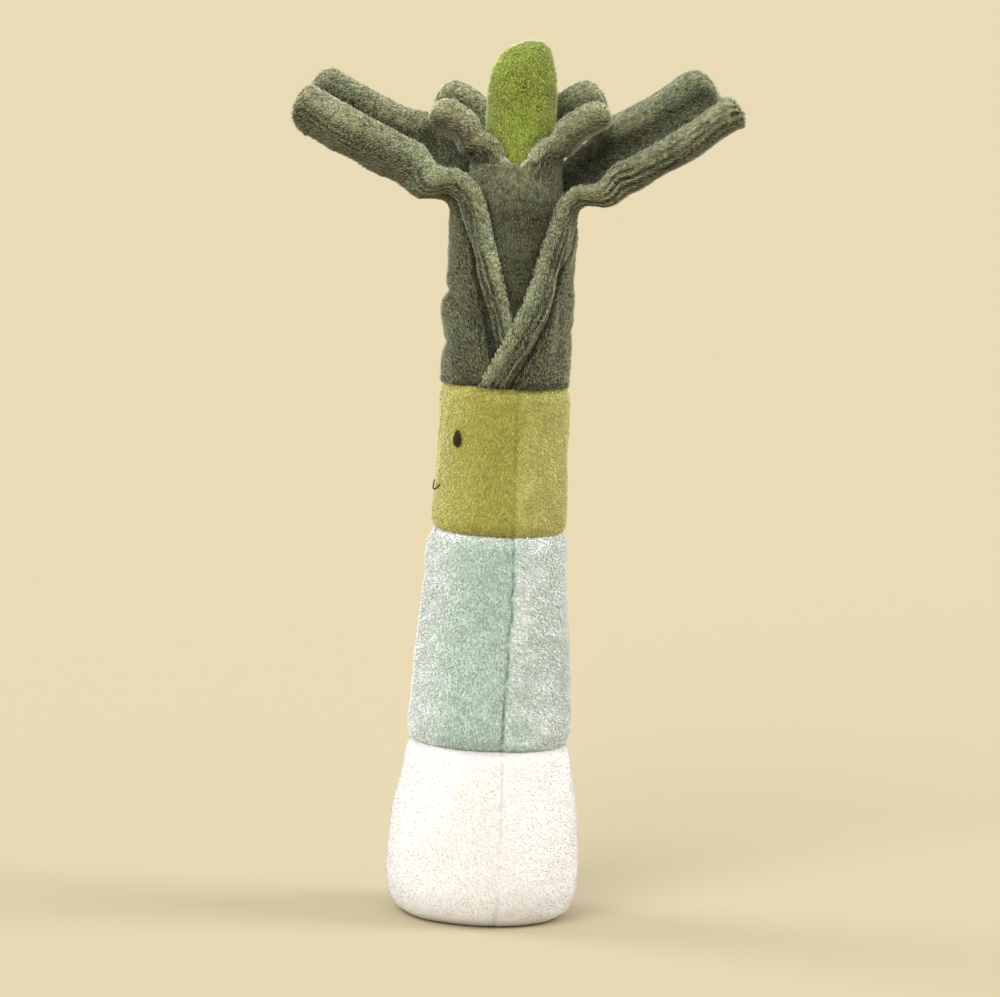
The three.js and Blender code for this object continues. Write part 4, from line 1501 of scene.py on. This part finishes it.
@dataclass
class Toy:
    """The whole toy: its finishes, its sewn pieces and the pile that each one grows."""

    # The first colour of each plush is darker as painted shade deep in the pile, and the third is its painted
    # highlight.
    white: Plush = Plush(
        "White plush", "white_plush", (0.675, 0.66, 0.645), (0.685, 0.67, 0.655), (0.73, 0.72, 0.705),
        patch=0.005, grain=0.01, sheen=0.2,
    )
    aqua: Plush = Plush(
        "Aqua plush", "aqua_plush", (0.5, 0.66, 0.55), (0.88, 0.98, 0.89), (0.99, 0.99, 0.99),
        patch=0.12, grain=0.5, sheen=1.0,
    )
    olive: Plush = Plush(
        "Olive plush", "olive_plush", (0.42, 0.39, 0.08), (0.74, 0.7, 0.2), (0.9, 0.86, 0.4),
        patch=0.14, grain=0.5, sheen=0.8,
    )
    dark: Plush = Plush(
        "Dark plush", "dark_plush", (0.08, 0.085, 0.05), (0.305, 0.31, 0.175), (0.64, 0.66, 0.4),
        patch=0.6, grain=0.75, sheen=0.5,
    )
    bright: Plush = Plush(
        "Bright plush", "bright_plush", (0.26, 0.34, 0.045), (0.74, 0.82, 0.19), (0.92, 0.95, 0.55),
        patch=0.35, grain=0.7, sheen=0.8,
    )
    brown: Thread = Thread("Brown thread", "embroidery_thread", (0.012, 0.008, 0.001), (0.04, 0.03, 0.004))
    lining: Thread = Thread("Lining cloth", "lining_cloth", (0.6, 0.57, 0.5), (0.74, 0.71, 0.64), 0.9)
    fill: Thread = Thread("Fibre fill", "fibre_fill", (0.75, 0.75, 0.73), (0.86, 0.86, 0.85), 2.4)

    def build(self) -> None:
        """Builds every piece of the toy, from the floor up."""
        groups = FinishGroups()
        finishes = (self.white, self.aqua, self.olive, self.dark, self.bright, self.lining, self.fill)
        self.materials = {finish.name: finish.material(groups) for finish in finishes}
        self.pile = PileMaker()
        face = Face(self.brown)
        for node, finish in (("pellet_bag", self.lining), ("stuffing", self.fill)):
            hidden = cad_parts[node]
            hidden.data.materials.clear()
            hidden.data.materials.append(self.materials[finish.name])
        disc = dict(length=0.9, lean=80, spread=0.08)
        self._sew("base_panel", BasePanel().cloth(), self.white, 0.5, 8000, 5, "base_disc", **disc)
        self._sleeves(face)
        self._sew("shoot", Shoot().cloth(), self.bright, 0.85, 52000, 131, lean=45)
        self._sew("leaf_stem", LeafStem().cloth(), self.dark, 0.8, 26000, 141)
        combed = dict(length=1.5, width=0.26, lean=60, spread=0.2)
        making = ((0.4, 122000), (0.4, 122000), (0.5, 34000), (0.5, 34000))
        for leaf, (fill, triangles) in zip(LeafSet().leaves(), making):
            self._sew(leaf.node, leaf.cloth(), self.dark, fill, triangles, leaf.seed + 100, **combed)
        face.build(groups)

    def _sleeves(self, face: Face) -> None:
        """Builds the bulb and the two bands.

        Args:
            face: The face, which the upper band leaves room for.
        """
        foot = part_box("bulb")[0].z / MM - SEAM_GAP / 2
        seams = [node_top(node) + SEAM_GAP / 2 for node in ("bulb", "lower_band", "upper_band")]
        bulb_seam, band_seam, leaf_seam = seams
        bulb = Sleeve("bulb", foot, bulb_seam, self.white, (bulb_seam,), 3, 0.25, 0.25)
        lower_seams, upper_seams = (bulb_seam, band_seam), (band_seam, leaf_seam)
        lower_looks = dict(fringe=0.8, brushed=0.5)
        lower = Sleeve("lower_band", *lower_seams, self.aqua, lower_seams, 11, 0.95, **lower_looks)
        upper_looks = dict(brushed=0.25, bare=face.bare_places())
        upper = Sleeve("upper_band", *upper_seams, self.olive, upper_seams, 19, 0.4, **upper_looks)
        for sleeve, triangles, length, width, lean, spread in (
            (bulb, 60000, 0.5, 0.2, 50, 0.2),
            (lower, 158000, 1.0, 0.3, 22, 0.55),
            (upper, 114000, 1.0, 0.27, 32, 0.45),
        ):
            tuft = dict(length=length, width=width, lean=lean, spread=spread)
            self._sew(sleeve.node, sleeve.cloth(), sleeve.plush, 0.8, triangles, sleeve.seed + 100, **tuft)

    def _sew(
        self, node: str, cloth: Cloth, plush: Plush, fill: float, triangles: int, seed: int,
        name: str = "", **tuft: float,
    ) -> None:
        """Makes one stuffed piece of a shell, and its pile as a piece of its own.

        Args:
            node: The CAD node that it stands for.
            cloth: Its shell.
            plush: Its finish.
            fill: How tightly it is stuffed, from 0 to 1; not used.
            triangles: About how many triangles its pile has.
            seed: Fixes the pile's random draw.
            name: The piece's name, where it isn't the node's with "_shell".
            tuft: What its pile has of its own, as PileMaker.grow takes it.
        """
        piece = cloth.object(name or node + "_shell", self.materials[plush.name])
        dress(piece, plush.slot, node)
        pile = self.pile.grow(piece, cloth, triangles, seed, **tuft)
        dress(pile, piece["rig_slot"])


@dataclass
class Studio:
    """The pale floor, the soft lights and the camera at the photograph's viewing angle.

    Attributes:
        elevation: Degrees that the camera looks down.
        roll: Degrees that the camera is turned, so that the toy leans as in the photograph.
        distance: From the camera to its aim, in millimetres.
        pixel: Millimetres of the object to one pixel of the photograph.
        image_width: The photograph's width in pixels.
        sensor: The camera's film width.
        aim: The place that the camera looks at.
        suns: Name, azimuth, elevation and strength of each light.
        sun_size: Degrees across each light, for soft shadows.
        floor_colour: The floor's colour.
        floor_radius: In metres.
        floor_height: In metres, just under the base.
    """

    elevation: float = 7.5
    roll: float = 2.8
    distance: float = 2300.0
    pixel: float = 0.352
    image_width: int = 1000
    sensor: float = 36.0
    aim: tuple[float, float, float] = (0.0, 0.0, 148.4)
    suns: tuple[tuple[str, float, float, float], ...] = (
        ("front", -25, 32, 2.4),
        ("left", -105, 35, 1.5),
        ("right", 95, 30, 2.35),
    )
    sun_size: float = 35.0
    floor_colour: Colour = (0.412, 0.358, 0.2415)
    floor_radius: float = 12.0
    floor_height: float = -0.00005

    def build(self) -> None:
        """Builds the camera first, then the floor and the lights."""
        self._camera()
        self._floor()
        self._lights()

    def _camera(self) -> None:
        """Places the camera."""
        e, r = math.radians(self.elevation), math.radians(self.roll)
        view = Vector((0, math.cos(e), -math.sin(e)))
        right = view.cross(Vector((0, 0, 1))).normalized()
        up = right.cross(view)
        across = right * math.cos(r) + up * math.sin(r)
        upright = up * math.cos(r) - right * math.sin(r)
        data = bpy.data.cameras.new("camera")
        data.sensor_width = self.sensor
        data.lens = self.sensor * self.distance / self.pixel / self.image_width
        camera = add_object("camera", data)
        place = (Vector(self.aim) - view * self.distance) * MM
        turn = Matrix((across, upright, -view)).transposed().to_4x4()
        camera.matrix_world = Matrix.Translation(place) @ turn
        bpy.context.scene.camera = camera

    def _floor(self) -> None:
        """Lays a wide plain disc."""
        mesh = bpy.data.meshes.new("floor")
        turns = np.linspace(0, TURN, 96, False)
        wide = self.floor_radius
        ring = [(math.cos(t) * wide, math.sin(t) * wide, self.floor_height) for t in turns]
        mesh.from_pydata(ring, [], [list(range(len(ring)))])
        finish = Finish("Floor", Base_Color=self.floor_colour, Roughness=1.0, Specular_IOR_Level=0.0)
        mesh.materials.append(finish.material)
        floor = add_object("floor", mesh)
        floor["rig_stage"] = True

    def _lights(self) -> None:
        """Lights the pale room evenly, with soft suns."""
        world = bpy.data.worlds.new("room")
        world.use_nodes = True
        ground = world.node_tree.nodes["Background"]
        ground.inputs["Color"].default_value = (1.0, 0.98, 0.95, 1)
        ground.inputs["Strength"].default_value = 0.95
        scene = bpy.context.scene
        scene.world = world
        scene.view_settings.view_transform = "Standard"
        for name, azimuth, elevation, power in self.suns:
            data = bpy.data.lights.new(name, "SUN")
            data.energy = power
            data.angle = math.radians(self.sun_size)
            a, e = math.radians(azimuth), math.radians(elevation)
            away = Vector((math.sin(a) * math.cos(e), -math.cos(a) * math.cos(e), math.sin(e)))
            add_object(name, data).rotation_euler = away.to_track_quat("Z", "Y").to_euler()


def main() -> None:
    """Builds the studio and the toy."""
    logging.basicConfig(level=logging.INFO, format="%(name)s: %(message)s")
    Studio().build()
    Toy().build()
    boxes = {"cad": CAD_BOX, "visual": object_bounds()}
    for key, (low, high) in boxes.items():
        log.info("%s box %s to %s", key, [round(v, 4) for v in low], [round(v, 4) for v in high])


if __name__ == "__main__":
    main()
